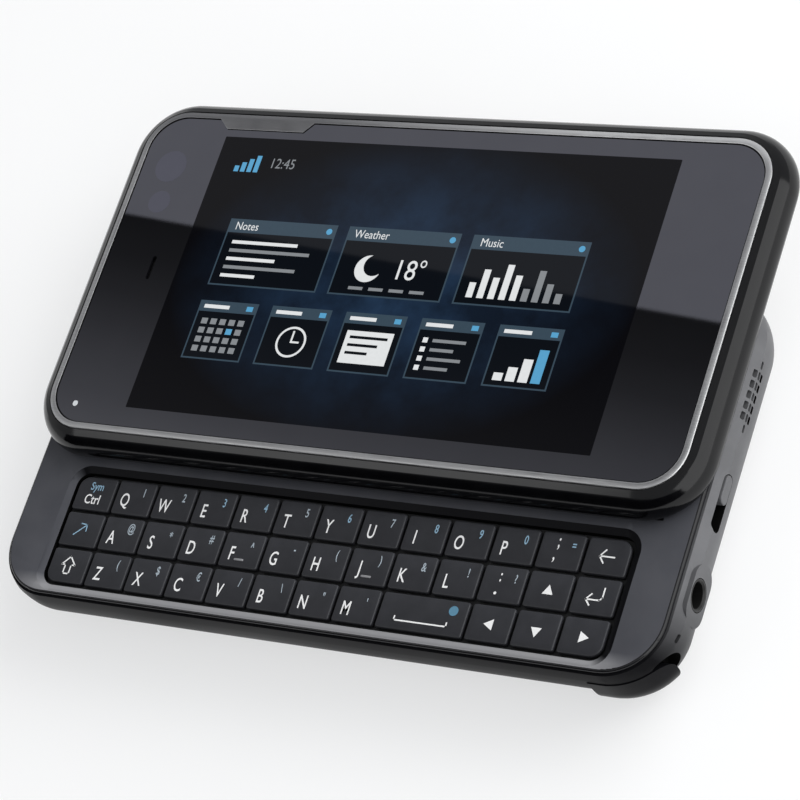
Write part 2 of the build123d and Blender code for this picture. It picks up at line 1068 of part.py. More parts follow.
with BuildPart() as av_jack:
    slot_x(
        jack_body_width,
        jack_high - jack_low,
        jack_corner,
        jack_y,
        (jack_high + jack_low) / 2,
        jack_back,
        wall_inner_x - fit_gap,
    )
    rod_x(jack_collar_radius, jack_y, jack_z, wall_inner_x - fit_gap, side_x)
    rod_x(
        jack_bore_radius, jack_y, jack_z, jack_back + jack_back_wall, side_x, Mode.SUBTRACT
    )
    cone_x(
        jack_bore_radius,
        jack_mouth_radius,
        jack_y,
        jack_z,
        side_x - jack_mouth_depth,
        side_x,
        Mode.SUBTRACT,
    )
write(av_jack, "av_jack")

lens_low = groove_top + lens_set_back
with BuildPart() as camera_module:
    square_block(
        camera_block,
        2 * (flash_offset + flash_radius + lens_wall),
        plinth_high,
        plinth_high + camera_block_height,
        (lens_x, camera_y),
    )
    rod_z(lens_radius, lens_x, camera_y, lens_low, plinth_high)
    rod_z(
        lens_radius - lens_wall, lens_x, camera_y, lens_low, lens_low + lens_recess, Mode.SUBTRACT
    )
    for side in (-1, 1):
        rod_z(flash_radius, lens_x, camera_y + side * flash_offset, lens_low, plinth_high)
write(camera_module, "camera_module")


# ---------------------------------------------------- moving pieces of the base
with BuildPart() as lens_cover:
    cover_rest_x = camera_x - lens_cover_travel / 2
    rounded_block(
        lens_cover_length,
        lens_cover_depth,
        lens_cover_radius,
        fit_gap,
        cover_flange_low,
        (cover_rest_x, camera_y),
    )
    rounded_block(
        lens_cover_length,
        lens_cover_depth + 2 * lens_cover_lip,
        lens_cover_radius,
        cover_flange_low,
        cover_flange_low + lens_cover_flange,
        (cover_rest_x, camera_y),
    )
    for ridge in range(grip_count):
        square_block(
            grip_width,
            grip_length,
            0,
            fit_gap + grip_depth,
            (cover_rest_x + grip_x - ridge * grip_pitch, camera_y),
            Mode.SUBTRACT,
        )
write(lens_cover, "lens_cover")

with BuildPart() as kickstand:
    stand_block(0, fit_gap, stand_top)
    rounded_block(
        stand_length - 2 * stand_bar,
        stand_depth - 2 * stand_bar,
        stand_inner_radius,
        fit_gap,
        stand_top,
        (camera_x, camera_y),
        Mode.SUBTRACT,
    )
    rod_x(barrel_radius, hinge_y, hinge_z, stand_left, stand_right)
    rod_x(
        hinge_pin_radius,
        hinge_y,
        hinge_z,
        stand_left - hinge_pin_length,
        stand_right + hinge_pin_length,
    )
write(kickstand, "kickstand")

with BuildPart() as stylus:
    outer_base(head_grow, head_bottom_round, head_low)
    head_bar(0, head_start_x, Mode.INTERSECT)
    rod_x(stylus_radius, stylus_y, stylus_z, stylus_tip_x + stylus_cone, head_start_x)
    cone_x(
        stylus_tip_radius,
        stylus_radius,
        stylus_y,
        stylus_z,
        stylus_tip_x,
        stylus_tip_x + stylus_cone,
    )
write(stylus, "stylus")

with BuildPart() as lock_switch:
    slot_x(
        knob_length,
        lock_slot_height - 2 * lock_clearance,
        lock_round - lock_clearance,
        knob_y,
        lock_z,
        flange_x - flange_thickness,
        side_x + lock_proud,
    )
    fillet(lock_switch.edges().group_by(Axis.X)[-1], lock_edge_round)
    flange_low = knob_low - lock_flange_low
    flange_high = plug_low - fit_gap
    slot_x(
        knob_length + 2 * flange_overlap,
        flange_high - flange_low,
        lock_round,
        knob_y,
        (flange_high + flange_low) / 2,
        flange_x - flange_thickness,
        flange_x,
    )
write(lock_switch, "lock_switch")

with BuildPart() as volume_key:
    edge_key(volume_x, volume_length, volume_slack)
write(volume_key, "volume_key")

with BuildPart() as power_key:
    edge_key(power_x, power_length, flange_gap)
write(power_key, "power_key")

with BuildPart() as camera_key:
    edge_key(camera_key_x, camera_key_length, flange_gap)
write(camera_key, "camera_key")


# ------------------------------------------------------------------------- lid
lower_arc = arc_sections(lid_belt_z, lid_bottom, lid_tuck)
upper_arc = arc_sections(lid_belt_z, facet_low, shoulder_width)
lid_sections = [
    *reversed(lower_arc),
    (lid_belt_z, 0),
    *upper_arc,
    (case_top, seat_inset - facet_land),
]

with BuildPart() as lid_case:
    stacked_shell(lid_sections)
    # seat of the bezel and the window
    rounded_block(
        seat_length,
        seat_depth,
        bezel_radius + fit_gap,
        window_low,
        big,
        (0, lid_y),
        Mode.SUBTRACT,
    )
    with BuildSketch(Plane.XY.offset(bezel_low)) as bezel_groove:
        with Locations((0, lid_y)):
            RectangleRounded(seat_length, seat_depth, bezel_radius + fit_gap)
            RectangleRounded(glass_length, glass_depth, glass_radius, mode=Mode.SUBTRACT)
    extrude(bezel_groove.sketch, amount=window_low - bezel_low, mode=Mode.SUBTRACT)
    # room for the display and the parts beside it, with a rib on the right
    pocket_split = display_x + display_length / 2 + 2 * fit_gap
    rounded_block(
        pocket_length / 2 + pocket_split,
        pocket_depth,
        display_round + fit_gap,
        lid_floor_top,
        big,
        ((pocket_split - pocket_length / 2) / 2, lid_y),
        Mode.SUBTRACT,
    )
    rounded_block(
        pocket_length / 2 - pocket_split - lid_rib,
        pocket_depth,
        pocket_round,
        lid_floor_top,
        big,
        ((pocket_length / 2 + pocket_split + lid_rib) / 2, lid_y),
        Mode.SUBTRACT,
    )
    # underside pocket of the slide plate
    rounded_block(
        body_length - 2 * plate_margin + 2 * fit_gap,
        body_depth - 2 * plate_margin + 2 * fit_gap,
        plate_radius + fit_gap,
        0,
        plate_top,
        (0, lid_y),
        Mode.SUBTRACT,
    )
write(lid_case, "lid_case")

with BuildPart() as lid_bezel:
    rounded_block(bezel_length, bezel_depth, bezel_radius, bezel_low, bezel_top, (0, lid_y))
    rounded_block(
        bezel_length - 2 * bezel_width,
        bezel_depth - 2 * bezel_width,
        bezel_radius - bezel_width,
        bezel_low,
        bezel_top,
        (0, lid_y),
        Mode.SUBTRACT,
    )
    tab_block(0, window_low, bezel_top, Mode.ADD)
    chamfer(lid_bezel.edges().group_by(Axis.Z)[-1], bezel_chamfer)
write(lid_bezel, "lid_bezel")

with BuildPart() as display_window:
    rounded_block(glass_length, glass_depth, glass_radius, window_low, window_top, (0, lid_y))
    tab_block(window_seam, window_low, window_top, Mode.SUBTRACT)
    rounded_block(
        ear_slot_width,
        ear_slot_length,
        ear_slot_width / 2 - fit_gap / 2,
        window_low,
        window_top,
        (ear_slot_x, lid_y + ear_slot_offset),
        Mode.SUBTRACT,
    )
write(display_window, "display_window")

with BuildPart() as lcd_module:
    rounded_block(
        display_length,
        display_depth,
        display_round,
        lid_floor_top,
        window_low,
        (display_x, lid_y),
    )
write(lcd_module, "lcd_module")

with BuildPart() as sensor_strip:
    strip_low = window_low - strip_thickness
    rounded_block(
        strip_width, strip_length, strip_round, strip_low, window_low, (strip_x, lid_y)
    )
    rod_z(
        front_camera_radius, strip_x, lid_y + front_camera_offset, lid_floor_top, strip_low
    )
    square_block(
        earpiece_width,
        earpiece_length,
        lid_floor_top,
        strip_low,
        (ear_slot_x, lid_y + ear_slot_offset),
    )
    rod_z(
        light_guide_radius, light_guide_x, lid_y + light_guide_offset, lid_floor_top, strip_low
    )
write(sensor_strip, "sensor_strip")

with BuildPart() as slide_plate:
    rounded_block(
        body_length - 2 * plate_margin,
        body_depth - 2 * plate_margin,
        plate_radius,
        lid_bottom,
        plate_top,
        (0, lid_y),
    )
    foot_low = (rail_low + rail_top - runner_foot_height) / 2
    for side in (-1, 1):
        runner_place = (side * rail_centre_x, runner_y)
        square_block(runner_neck, runner_length, foot_low, lid_bottom, runner_place)
        square_block(
            runner_foot, runner_length, foot_low, foot_low + runner_foot_height, runner_place
        )
write(slide_plate, "slide_plate")
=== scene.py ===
import json
import math

import bmesh
import bpy
from mathutils import Matrix, Vector

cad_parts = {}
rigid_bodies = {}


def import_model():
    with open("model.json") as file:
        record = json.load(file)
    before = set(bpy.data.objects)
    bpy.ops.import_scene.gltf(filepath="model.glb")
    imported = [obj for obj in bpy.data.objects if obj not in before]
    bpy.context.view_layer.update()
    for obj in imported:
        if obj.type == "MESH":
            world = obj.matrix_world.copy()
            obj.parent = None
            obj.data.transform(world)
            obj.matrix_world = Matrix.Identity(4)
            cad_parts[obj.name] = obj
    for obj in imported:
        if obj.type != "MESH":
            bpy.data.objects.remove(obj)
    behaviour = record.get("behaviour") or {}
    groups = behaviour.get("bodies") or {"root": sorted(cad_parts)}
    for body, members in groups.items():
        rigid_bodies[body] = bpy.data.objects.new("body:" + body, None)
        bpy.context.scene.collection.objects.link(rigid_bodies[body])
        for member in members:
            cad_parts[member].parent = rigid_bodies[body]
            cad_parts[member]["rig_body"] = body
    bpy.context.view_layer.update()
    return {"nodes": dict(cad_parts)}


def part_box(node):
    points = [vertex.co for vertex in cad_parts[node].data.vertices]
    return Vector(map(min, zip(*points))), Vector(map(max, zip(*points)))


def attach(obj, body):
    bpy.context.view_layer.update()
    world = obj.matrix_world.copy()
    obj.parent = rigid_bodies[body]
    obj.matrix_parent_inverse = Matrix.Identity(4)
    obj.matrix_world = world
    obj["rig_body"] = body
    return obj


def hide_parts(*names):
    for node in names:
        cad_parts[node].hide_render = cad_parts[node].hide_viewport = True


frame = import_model()
scene = bpy.context.scene
nodes = frame["nodes"]
mm = 0.001


def newMaterial(name):
    made = bpy.data.materials.new(name)
    made.use_nodes = True
    return made, made.node_tree, made.node_tree.nodes["Principled BSDF"]


def coordinate(tree, kind="Object"):
    return tree.nodes.new("ShaderNodeTexCoord").outputs[kind]


def axes(tree, vector):
    split = tree.nodes.new("ShaderNodeSeparateXYZ")
    tree.links.new(vector, split.inputs["Vector"])
    return split.outputs


# maths on sockets, the second value may be a plain number
def calculate(tree, operation, first, second=None):
    node = tree.nodes.new("ShaderNodeMath")
    node.operation = operation
    tree.links.new(first, node.inputs[0])
    if isinstance(second, float):
        node.inputs[1].default_value = second
    elif second:
        tree.links.new(second, node.inputs[1])
    return node.outputs["Value"]


# noise on the piece's own coordinates, scale in marks per metre
def grain(tree, scale, detail=4.0, rough=0.6, place=None):
    noise = tree.nodes.new("ShaderNodeTexNoise")
    noise.inputs["Scale"].default_value = scale
    noise.inputs["Detail"].default_value = detail
    noise.inputs["Roughness"].default_value = rough
    tree.links.new(place or coordinate(tree), noise.inputs["Vector"])
    return noise.outputs["Fac"]


# one range mapped to another, by default from the middle of a noise
def spread(tree, value, low, high, fromLow=0.35, fromHigh=0.65):
    ramp = tree.nodes.new("ShaderNodeMapRange")
    ramp.inputs["From Min"].default_value = fromLow
    ramp.inputs["From Max"].default_value = fromHigh
    ramp.inputs["To Min"].default_value = low
    ramp.inputs["To Max"].default_value = high
    tree.links.new(value, ramp.inputs["Value"])
    return ramp.outputs["Result"]


# two colours mixed by an amount, each a colour or a socket
def blend(tree, amount, first, second):
    mix = tree.nodes.new("ShaderNodeMix")
    mix.data_type = "RGBA"
    for label, colour in (("A", first), ("B", second)):
        if isinstance(colour, tuple):
            mix.inputs[label].default_value = (*colour, 1)
        else:
            tree.links.new(colour, mix.inputs[label])
    tree.links.new(amount, mix.inputs["Factor"])
    return mix.outputs["Result"]


# the colour of a finished material runs into another one, and its gloss where one is given
def fadeTo(material, amount, colour, gloss=None):
    tree = material.node_tree
    shader = tree.nodes["Principled BSDF"]
    paint = shader.inputs["Base Color"]
    tree.links.new(blend(tree, amount, paint.links[0].from_socket, colour), paint)
    if gloss is not None:
        own = shader.inputs["Specular IOR Level"]
        tree.links.new(spread(tree, amount, own.default_value, gloss, 0.0, 1.0), own)


def bump(tree, shader, height, strength, distance):
    node = tree.nodes.new("ShaderNodeBump")
    node.inputs["Strength"].default_value = strength
    node.inputs["Distance"].default_value = distance
    tree.links.new(height, node.inputs["Height"])
    tree.links.new(node.outputs["Normal"], shader.inputs["Normal"])


rubbedEdge = {"radius": 0.12 * mm, "samples": 4, "from": 0.15, "to": 0.7}


# high where corners are rubbed: there the rounded normal leaves the flat one
def edgeWear(tree, amount):
    bevel = tree.nodes.new("ShaderNodeBevel")
    bevel.samples = rubbedEdge["samples"]
    bevel.inputs["Radius"].default_value = rubbedEdge["radius"]
    flat = tree.nodes.new("ShaderNodeNewGeometry")
    apart = tree.nodes.new("ShaderNodeVectorMath")
    apart.operation = "DISTANCE"
    tree.links.new(bevel.outputs["Normal"], apart.inputs[0])
    tree.links.new(flat.outputs["Normal"], apart.inputs[1])
    return spread(tree, apart.outputs["Value"], 0.0, amount, rubbedEdge["from"], rubbedEdge["to"])


# what a finish has when its own settings don't say, depth in mm
plainFinish = {"grain": 9000, "depth": 0.004, "metallic": 0.0, "specular": 0.5, "smudge": 90, "wear": 0.0}


# moulded or lacquered finish: drifting colour, uneven sheen, fine grain and rubbed edges
def surface(name, settings):
    finish = {**plainFinish, **settings}
    made, tree, shader = newMaterial(name)
    drift = grain(tree, finish["smudge"] * 3, 3.0)
    colour = blend(tree, spread(tree, drift, 0, 1), finish["dark"], finish["light"])
    if finish["wear"]:
        rubbed = tuple(min(1, c * 3 + 0.04) for c in finish["light"])
        colour = blend(tree, edgeWear(tree, finish["wear"]), colour, rubbed)
    tree.links.new(colour, shader.inputs["Base Color"])
    smears = grain(tree, finish["smudge"], 2.5, 0.5)
    tree.links.new(spread(tree, smears, *finish["sheen"], 0.25, 0.75), shader.inputs["Roughness"])
    shader.inputs["Metallic"].default_value = finish["metallic"]
    shader.inputs["Specular IOR Level"].default_value = finish["specular"]
    bump(tree, shader, grain(tree, finish["grain"], 2.0), 0.35, finish["depth"] * mm)
    return made


# metal with fine lines along one axis
def brushed(name, settings):
    made, tree, shader = newMaterial(name)
    stretch = tree.nodes.new("ShaderNodeMapping")
    stretch.inputs["Scale"].default_value = [40 if axis == settings["along"] else 5000 for axis in "XYZ"]
    tree.links.new(coordinate(tree), stretch.inputs["Vector"])
    lines = grain(tree, 1.0, 3.0, 0.6, stretch.outputs["Vector"])
    colour = blend(tree, spread(tree, lines, 0, 1), settings["dark"], settings["light"])
    tree.links.new(colour, shader.inputs["Base Color"])
    shader.inputs["Metallic"].default_value = 1.0
    sheen = spread(tree, grain(tree, 200), settings["rough"] * 0.8, settings["rough"] * 1.25)
    tree.links.new(sheen, shader.inputs["Roughness"])
    bump(tree, shader, lines, 0.25, 0.004 * mm)
    return made


# printed colour, slightly worn, that shines by itself where it has a glow
def ink(name, colour, glow=0.0, rough=0.5):
    made, tree, shader = newMaterial(name)
    worn = spread(tree, grain(tree, 2500, 3.0), 0.86, 1.0)
    paint = blend(tree, worn, tuple(c * 0.7 for c in colour), colour)
    shader.inputs["Roughness"].default_value = rough
    if glow:
        shader.inputs["Base Color"].default_value = (0, 0, 0, 1)
        shader.inputs["Emission Strength"].default_value = glow
        tree.links.new(paint, shader.inputs["Emission Color"])
    else:
        tree.links.new(paint, shader.inputs["Base Color"])
    return made


# sheen is the range of roughness
lacquers = {
    "case_grey": {"dark": (0.105, 0.106, 0.111), "light": (0.120, 0.121, 0.127), "sheen": (0.38, 0.48),
                  "grain": 14000, "depth": 0.002, "metallic": 0.4, "specular": 0.2, "smudge": 60,
                  "wear": 0.05},
    "deck_blue_grey": {"dark": (0.067, 0.069, 0.080), "light": (0.079, 0.081, 0.092), "sheen": (0.26, 0.36),
                       "grain": 12000, "depth": 0.0007, "metallic": 0.2, "specular": 0.45, "smudge": 50},
    "deck_edge_black": {"dark": (0.004, 0.004, 0.005), "light": (0.006, 0.006, 0.007), "sheen": (0.12, 0.20),
                        "grain": 12000, "depth": 0.001, "specular": 0.4, "smudge": 50, "wear": 0.03},
    "lid_black": {"dark": (0.0015, 0.0015, 0.002), "light": (0.0025, 0.0025, 0.003), "sheen": (0.10, 0.16),
                  "grain": 20000, "depth": 0.0004, "specular": 0.34, "smudge": 70, "wear": 0.01},
    "key_charcoal": {"dark": (0.026, 0.027, 0.031), "light": (0.032, 0.033, 0.038), "sheen": (0.34, 0.44),
                     "grain": 16000, "depth": 0.002, "specular": 0.4, "smudge": 120, "wear": 0.02},
    "key_bar": {"dark": (0.20, 0.20, 0.21), "light": (0.24, 0.24, 0.25), "sheen": (0.34, 0.44),
                "smudge": 120},
    "cover_soft": {"dark": (0.020, 0.0205, 0.022), "light": (0.026, 0.0265, 0.028), "sheen": (0.48, 0.62),
                   "grain": 11000, "depth": 0.012, "specular": 0.35, "smudge": 80, "wear": 0.08},
    "button_dark": {"dark": (0.055, 0.056, 0.061), "light": (0.066, 0.067, 0.072), "sheen": (0.26, 0.36),
                    "grain": 14000, "depth": 0.002, "specular": 0.45, "metallic": 0.2, "wear": 0.12},
    "stylus_dark": {"dark": (0.004, 0.004, 0.005), "light": (0.006, 0.006, 0.007), "sheen": (0.26, 0.36),
                    "grain": 14000, "depth": 0.0015, "specular": 0.04, "wear": 0.02},
    "stand_paint": {"dark": (0.035, 0.036, 0.039), "light": (0.045, 0.046, 0.050), "sheen": (0.30, 0.44),
                    "depth": 0.006, "metallic": 0.4, "wear": 0.18},
    "jack_black": {"dark": (0.006, 0.006, 0.006), "light": (0.009, 0.009, 0.009), "sheen": (0.32, 0.45),
                   "specular": 0.3},
    "board_green": {"dark": (0.010, 0.055, 0.026), "light": (0.014, 0.072, 0.034), "sheen": (0.30, 0.42),
                    "smudge": 300},
    "battery_wrap": {"dark": (0.20, 0.21, 0.23), "light": (0.25, 0.26, 0.28), "sheen": (0.40, 0.50)},
    "pad_board": {"dark": (0.012, 0.012, 0.013), "light": (0.018, 0.018, 0.019), "sheen": (0.50, 0.60),
                  "smudge": 300},
    "optics_black": {"dark": (0.006, 0.006, 0.007), "light": (0.010, 0.010, 0.011), "sheen": (0.20, 0.32)},
    # painted shade: near-black for the insides of openings, the walls of the key well and the ring's inner
    # wall
    "inside_painted_shade": {"dark": (0.002, 0.002, 0.002), "light": (0.003, 0.003, 0.003), "sheen": (0.70, 0.80),
                     "specular": 0.05},
    "flash_yellow": {"dark": (0.75, 0.70, 0.42), "light": (0.82, 0.78, 0.52), "sheen": (0.25, 0.35)},
    "lens_glass": {"dark": (0.010, 0.012, 0.030), "light": (0.016, 0.016, 0.045), "sheen": (0.02, 0.04),
                   "specular": 0.8},
    "gauze_dark": {"dark": (0.030, 0.030, 0.032), "light": (0.045, 0.045, 0.048), "sheen": (0.35, 0.45),
                   "metallic": 0.8},
    "window_black": {"dark": (0.003, 0.003, 0.004), "light": (0.004, 0.004, 0.005), "sheen": (0.012, 0.03),
                     "grain": 20000, "depth": 0.0002, "smudge": 40},
    "window_print": {"dark": (0.275, 0.280, 0.315), "light": (0.285, 0.290, 0.325), "sheen": (0.005, 0.012),
                     "grain": 20000, "depth": 0.0002, "metallic": 1.0, "smudge": 40},
    "sensor_smoke": {"dark": (0.305, 0.31, 0.375), "light": (0.315, 0.32, 0.385), "sheen": (0.005, 0.012),
                     "depth": 0.0002, "metallic": 1.0},
}
metals = {
    "ring_steel": {"dark": (0.54, 0.54, 0.545), "light": (0.66, 0.66, 0.665), "rough": 0.46, "along": "X"},
    "slide_steel": {"dark": (0.10, 0.10, 0.105), "light": (0.15, 0.15, 0.157), "rough": 0.36, "along": "Y"},
}
finishes = {name: surface(name, settings) for name, settings in lacquers.items()}
for name, settings in metals.items():
    finishes[name] = brushed(name, settings)
print("finishes made")

# painted shade: case lacquer darkened to black round the front edge, and less glossy there
caseFrontPaintedShade = {"from": -15.0 * mm, "to": -26.0 * mm, "black": (0.007, 0.007, 0.008), "gloss": 0.03}
tree = finishes["case_grey"].node_tree
paintedLightToFront = spread(tree, axes(tree, coordinate(tree))["Y"], 0.0, 1.0, caseFrontPaintedShade["from"], caseFrontPaintedShade["to"])
fadeTo(finishes["case_grey"], paintedLightToFront, caseFrontPaintedShade["black"], caseFrontPaintedShade["gloss"])

# painted highlight: lighter strip of the deck in front of the keys
strip = {
    "colour": (0.27, 0.27, 0.28),
    "from": 1.0 * mm,
    "to": -0.7 * mm,
    "sideFrom": 45 * mm,
    "sideTo": 52 * mm,
}
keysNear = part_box("key_z")[0].y
tree = finishes["deck_blue_grey"].node_tree
places = axes(tree, coordinate(tree))
paintedLightToFront = spread(tree, places["Y"], 0.0, 1.0, keysNear + strip["from"], keysNear + strip["to"])
sideways = calculate(tree, "ABSOLUTE", places["X"])
between = spread(tree, sideways, 1.0, 0.0, strip["sideFrom"], strip["sideTo"])
fadeTo(finishes["deck_blue_grey"], calculate(tree, "MULTIPLY", paintedLightToFront, between), strip["colour"])

# rim of the key well: deck lacquer with painted shade, black and less glossy where it slopes to the front or
# the left
wellRimPaintedShade = {"black": (0.002, 0.002, 0.003), "gloss": 0.08, "from": -0.15, "to": 0.3}
finishes["well_rim_painted_shade"] = finishes["deck_blue_grey"].copy()
finishes["well_rim_painted_shade"].name = "well_rim_painted_shade"
tree = finishes["well_rim_painted_shade"].node_tree
slope = axes(tree, coordinate(tree, "Normal"))
facing = calculate(tree, "ADD", slope["X"], slope["Y"])
paintedShadeTurnedAway = spread(tree, facing, 1.0, 0.0, wellRimPaintedShade["from"], wellRimPaintedShade["to"])
fadeTo(finishes["well_rim_painted_shade"], paintedShadeTurnedAway, wellRimPaintedShade["black"], wellRimPaintedShade["gloss"])

# painted shade and highlight: ring darker round its name tab at the rear left, painted bright at the rear
# right
ringPaintedLight = {
    "dark": (0.33, 0.33, 0.34),
    "bright": (1.0, 1.0, 1.0),
    "from": -9.0 * mm,
    "to": -0.5 * mm,
    "brightFrom": -22.0 * mm,
    "brightTo": 22.0 * mm,
}
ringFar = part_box("lid_bezel")[1].y
tree = finishes["ring_steel"].node_tree
places = axes(tree, coordinate(tree))
ringShadeToRear = spread(tree, places["Y"], 0.0, 1.0, ringFar + ringPaintedLight["from"], ringFar + ringPaintedLight["to"])
ringHighlightToRight = spread(tree, places["X"], 0.0, 1.0, ringPaintedLight["brightFrom"], ringPaintedLight["brightTo"])
fadeTo(finishes["ring_steel"], ringShadeToRear, ringPaintedLight["dark"])
fadeTo(finishes["ring_steel"], calculate(tree, "MULTIPLY", ringShadeToRear, ringHighlightToRight), ringPaintedLight["bright"])

# painted shade: keys a little darker towards their front edge
keyPaintedShade = {"colour": (0.012, 0.012, 0.014), "front": 0.5, "until": 0.9}
tree = finishes["key_charcoal"].node_tree
across = axes(tree, coordinate(tree, "Generated"))["Y"]
fadeTo(finishes["key_charcoal"], spread(tree, across, keyPaintedShade["front"], 0.0, 0.0, keyPaintedShade["until"]),
       keyPaintedShade["colour"])
print("lacquers shaded")


# loose triangles welded and smoothed, with edges sharper than the crease angle kept sharp
def weldMesh(mesh, creaseAngle):
    work = bmesh.new()
    work.from_mesh(mesh)
    bmesh.ops.remove_doubles(work, verts=work.verts, dist=0.0015 * mm)
    bmesh.ops.dissolve_degenerate(work, edges=work.edges, dist=0.001 * mm)
    for face in work.faces:
        face.smooth = True
    limit = math.radians(creaseAngle)
    for edge in work.edges:
        edge.smooth = len(edge.link_faces) == 2 and edge.calc_face_angle(math.pi) < limit
    work.to_mesh(mesh)
    work.free()


# new piece that rides on a body
def addPiece(name, mesh, body, slotName, *materials):
    for material in materials:
        mesh.materials.append(material)
    piece = bpy.data.objects.new(name, mesh)
    scene.collection.objects.link(piece)
    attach(piece, body)
    return piece


# finished copy of a CAD node, shown in its place
def dressNode(node, material, slotName, creaseAngle):
    mesh = nodes[node].data.copy()
    mesh.name = node + "_skin"
    mesh.materials.clear()
    for face in mesh.polygons:
        face.material_index = 0
    weldMesh(mesh, creaseAngle)
    piece = addPiece(node + "_skin", mesh, nodes[node]["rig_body"], slotName, material)
    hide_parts(node)
    return mesh


# finish, material slot and crease angle of each shell piece
shellPieces = {
    "base_case": ("case_grey", "case_lacquer", 24),
    "keyboard_deck": ("deck_blue_grey", "deck_lacquer", 24),
    "keypad_board": ("pad_board", "board_laminate", 30),
    "battery_cover": ("cover_soft", "cover_plastic", 30),
    "battery": ("battery_wrap", "battery_wrap", 30),
    "main_board": ("board_green", "board_laminate", 30),
    "slide_rails": ("slide_steel", "slide_steel", 30),
    "camera_module": ("optics_black", "lens_plastic", 30),
    "av_jack": ("jack_black", "jack_plastic", 30),
    "lid_case": ("lid_black", "lid_gloss", 9.4),
    "lid_bezel": ("ring_steel", "bezel_metal", 50),
    "slide_plate": ("slide_steel", "slide_steel", 30),
    "sensor_strip": ("optics_black", "sensor_plastic", 30),
    "lens_cover": ("button_dark", "edge_key_plastic", 30),
    "kickstand": ("stand_paint", "stand_metal", 30),
    "stylus": ("stylus_dark", "stylus_plastic", 30),
    "lock_switch": ("case_grey", "edge_key_plastic", 30),
    "volume_key": ("button_dark", "edge_key_plastic", 30),
    "power_key": ("button_dark", "edge_key_plastic", 30),
    "camera_key": ("button_dark", "edge_key_plastic", 30),
}
skins = {}
for node, (finish, slotName, crease) in shellPieces.items():
    skins[node] = dressNode(node, finishes[finish], slotName, crease)


def addFinishes(node, *names):
    for name in names:
        skins[node].materials.append(finishes[name])


# how far a point lies inside the wall of a rounded rectangle, seen from above
def depthInside(point, low, high, radius):
    x = abs(point.x - (low.x + high.x) / 2) - (high.x - low.x) / 2 + radius
    y = abs(point.y - (low.y + high.y) / 2) - (high.y - low.y) / 2 + radius
    outside = math.hypot(max(x, 0), max(y, 0))
    return radius - outside - min(max(x, y), 0)


# deck: black rounded rim, painted shade on the rim of the key well, and black painted shade on the walls of
# the key well
deck = {"radius": 8.15 * mm, "rim": 0.46 * mm, "flat": 0.995, "wall": 0.3}
addFinishes("keyboard_deck", "deck_edge_black", "inside_painted_shade", "well_rim_painted_shade")
low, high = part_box("keyboard_deck")
for face in skins["keyboard_deck"].polygons:
    if face.normal.z < deck["flat"]:
        if depthInside(face.center, low, high, deck["radius"]) < deck["rim"]:
            face.material_index = 1
        else:
            face.material_index = 3 if face.normal.z > deck["wall"] else 2

# case: black painted shade on the insides of every opening, found by their depth behind the rounded wall
case = {"radius": 9.6 * mm, "belt": 9.1 * mm, "skin": 0.3 * mm, "floor": 2.5 * mm, "lean": 3.4 * mm}
addFinishes("base_case", "inside_painted_shade")
caseLow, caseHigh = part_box("base_case")
for face in skins["base_case"].polygons:
    under = max(case["belt"] - max(face.center.z, 0), 0)
    over = max(face.center.z - case["belt"], 0) / (caseHigh.z - case["belt"])
    drawnIn = case["belt"] - math.sqrt(case["belt"] ** 2 - under ** 2) + over * case["lean"]
    depth = depthInside(face.center, caseLow, caseHigh, case["radius"]) - drawnIn
    if depth > case["skin"] and face.center.z > case["floor"]:
        face.material_index = 1

# ring round the window: crisp inner edge, and black painted shade on its inner wall
ring = {"radius": 6.6 * mm, "chamfer": 0.15 * mm, "inner": 0.5 * mm, "left": 0.01 * mm, "wall": 0.6}
addFinishes("lid_bezel", "inside_painted_shade")
low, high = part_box("lid_bezel")
for vertex in skins["lid_bezel"].vertices:
    onChamfer = abs(high.z - vertex.co.z - ring["chamfer"]) < ring["left"]
    if onChamfer and depthInside(vertex.co, low, high, ring["radius"]) > ring["inner"]:
        vertex.co.z = high.z - ring["left"]
for face in skins["lid_bezel"].polygons:
    onInside = depthInside(face.center, low, high, ring["radius"]) > ring["inner"]
    if onInside and abs(face.normal.z) < ring["wall"]:
        face.material_index = 1

# board: steel cans and socket, black loudspeakers and socket tongue
board = {
    "thickness": 0.8 * mm,
    "speakerX": 46 * mm,
    "speakerY": 6 * mm,
    "socketY": -9 * mm,
    "tongue": (-14 * mm, 9.1 * mm),
    "tongueReach": (2.4 * mm, 0.4 * mm),
}
addFinishes("main_board", "slide_steel", "pad_board")
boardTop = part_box("main_board")[0].z + board["thickness"]
for face in skins["main_board"].polygons:
    x, y, z = face.center
    if z > boardTop + 0.01 * mm:
        speaker = abs(x) > board["speakerX"] and y > board["speakerY"]
        inSocket = x < -board["speakerX"] and y < board["socketY"]
        apartY, apartZ = abs(y - board["tongue"][0]), abs(z - board["tongue"][1])
        tongue = inSocket and apartY < board["tongueReach"][0] and apartZ < board["tongueReach"][1]
        face.material_index = 2 if speaker or tongue else 1

# camera: steel lens ring, dark glass and two flash lamps
lensSide = {"height": 0.6 * mm, "recess": 0.4 * mm, "flashFrom": 3.4 * mm, "facing": -0.9}
addFinishes("camera_module", "slide_steel", "flash_yellow", "lens_glass")
low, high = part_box("camera_module")
for face in skins["camera_module"].polygons:
    if face.center.z < low.z + lensSide["height"]:
        onFlash = abs(face.center.y - (low.y + high.y) / 2) > lensSide["flashFrom"]
        inRecess = face.center.z > low.z + lensSide["recess"]
        onGlass = inRecess and face.normal.z < lensSide["facing"]
        face.material_index = 2 if onFlash else 3 if onGlass else 1
print("shell pieces dressed")


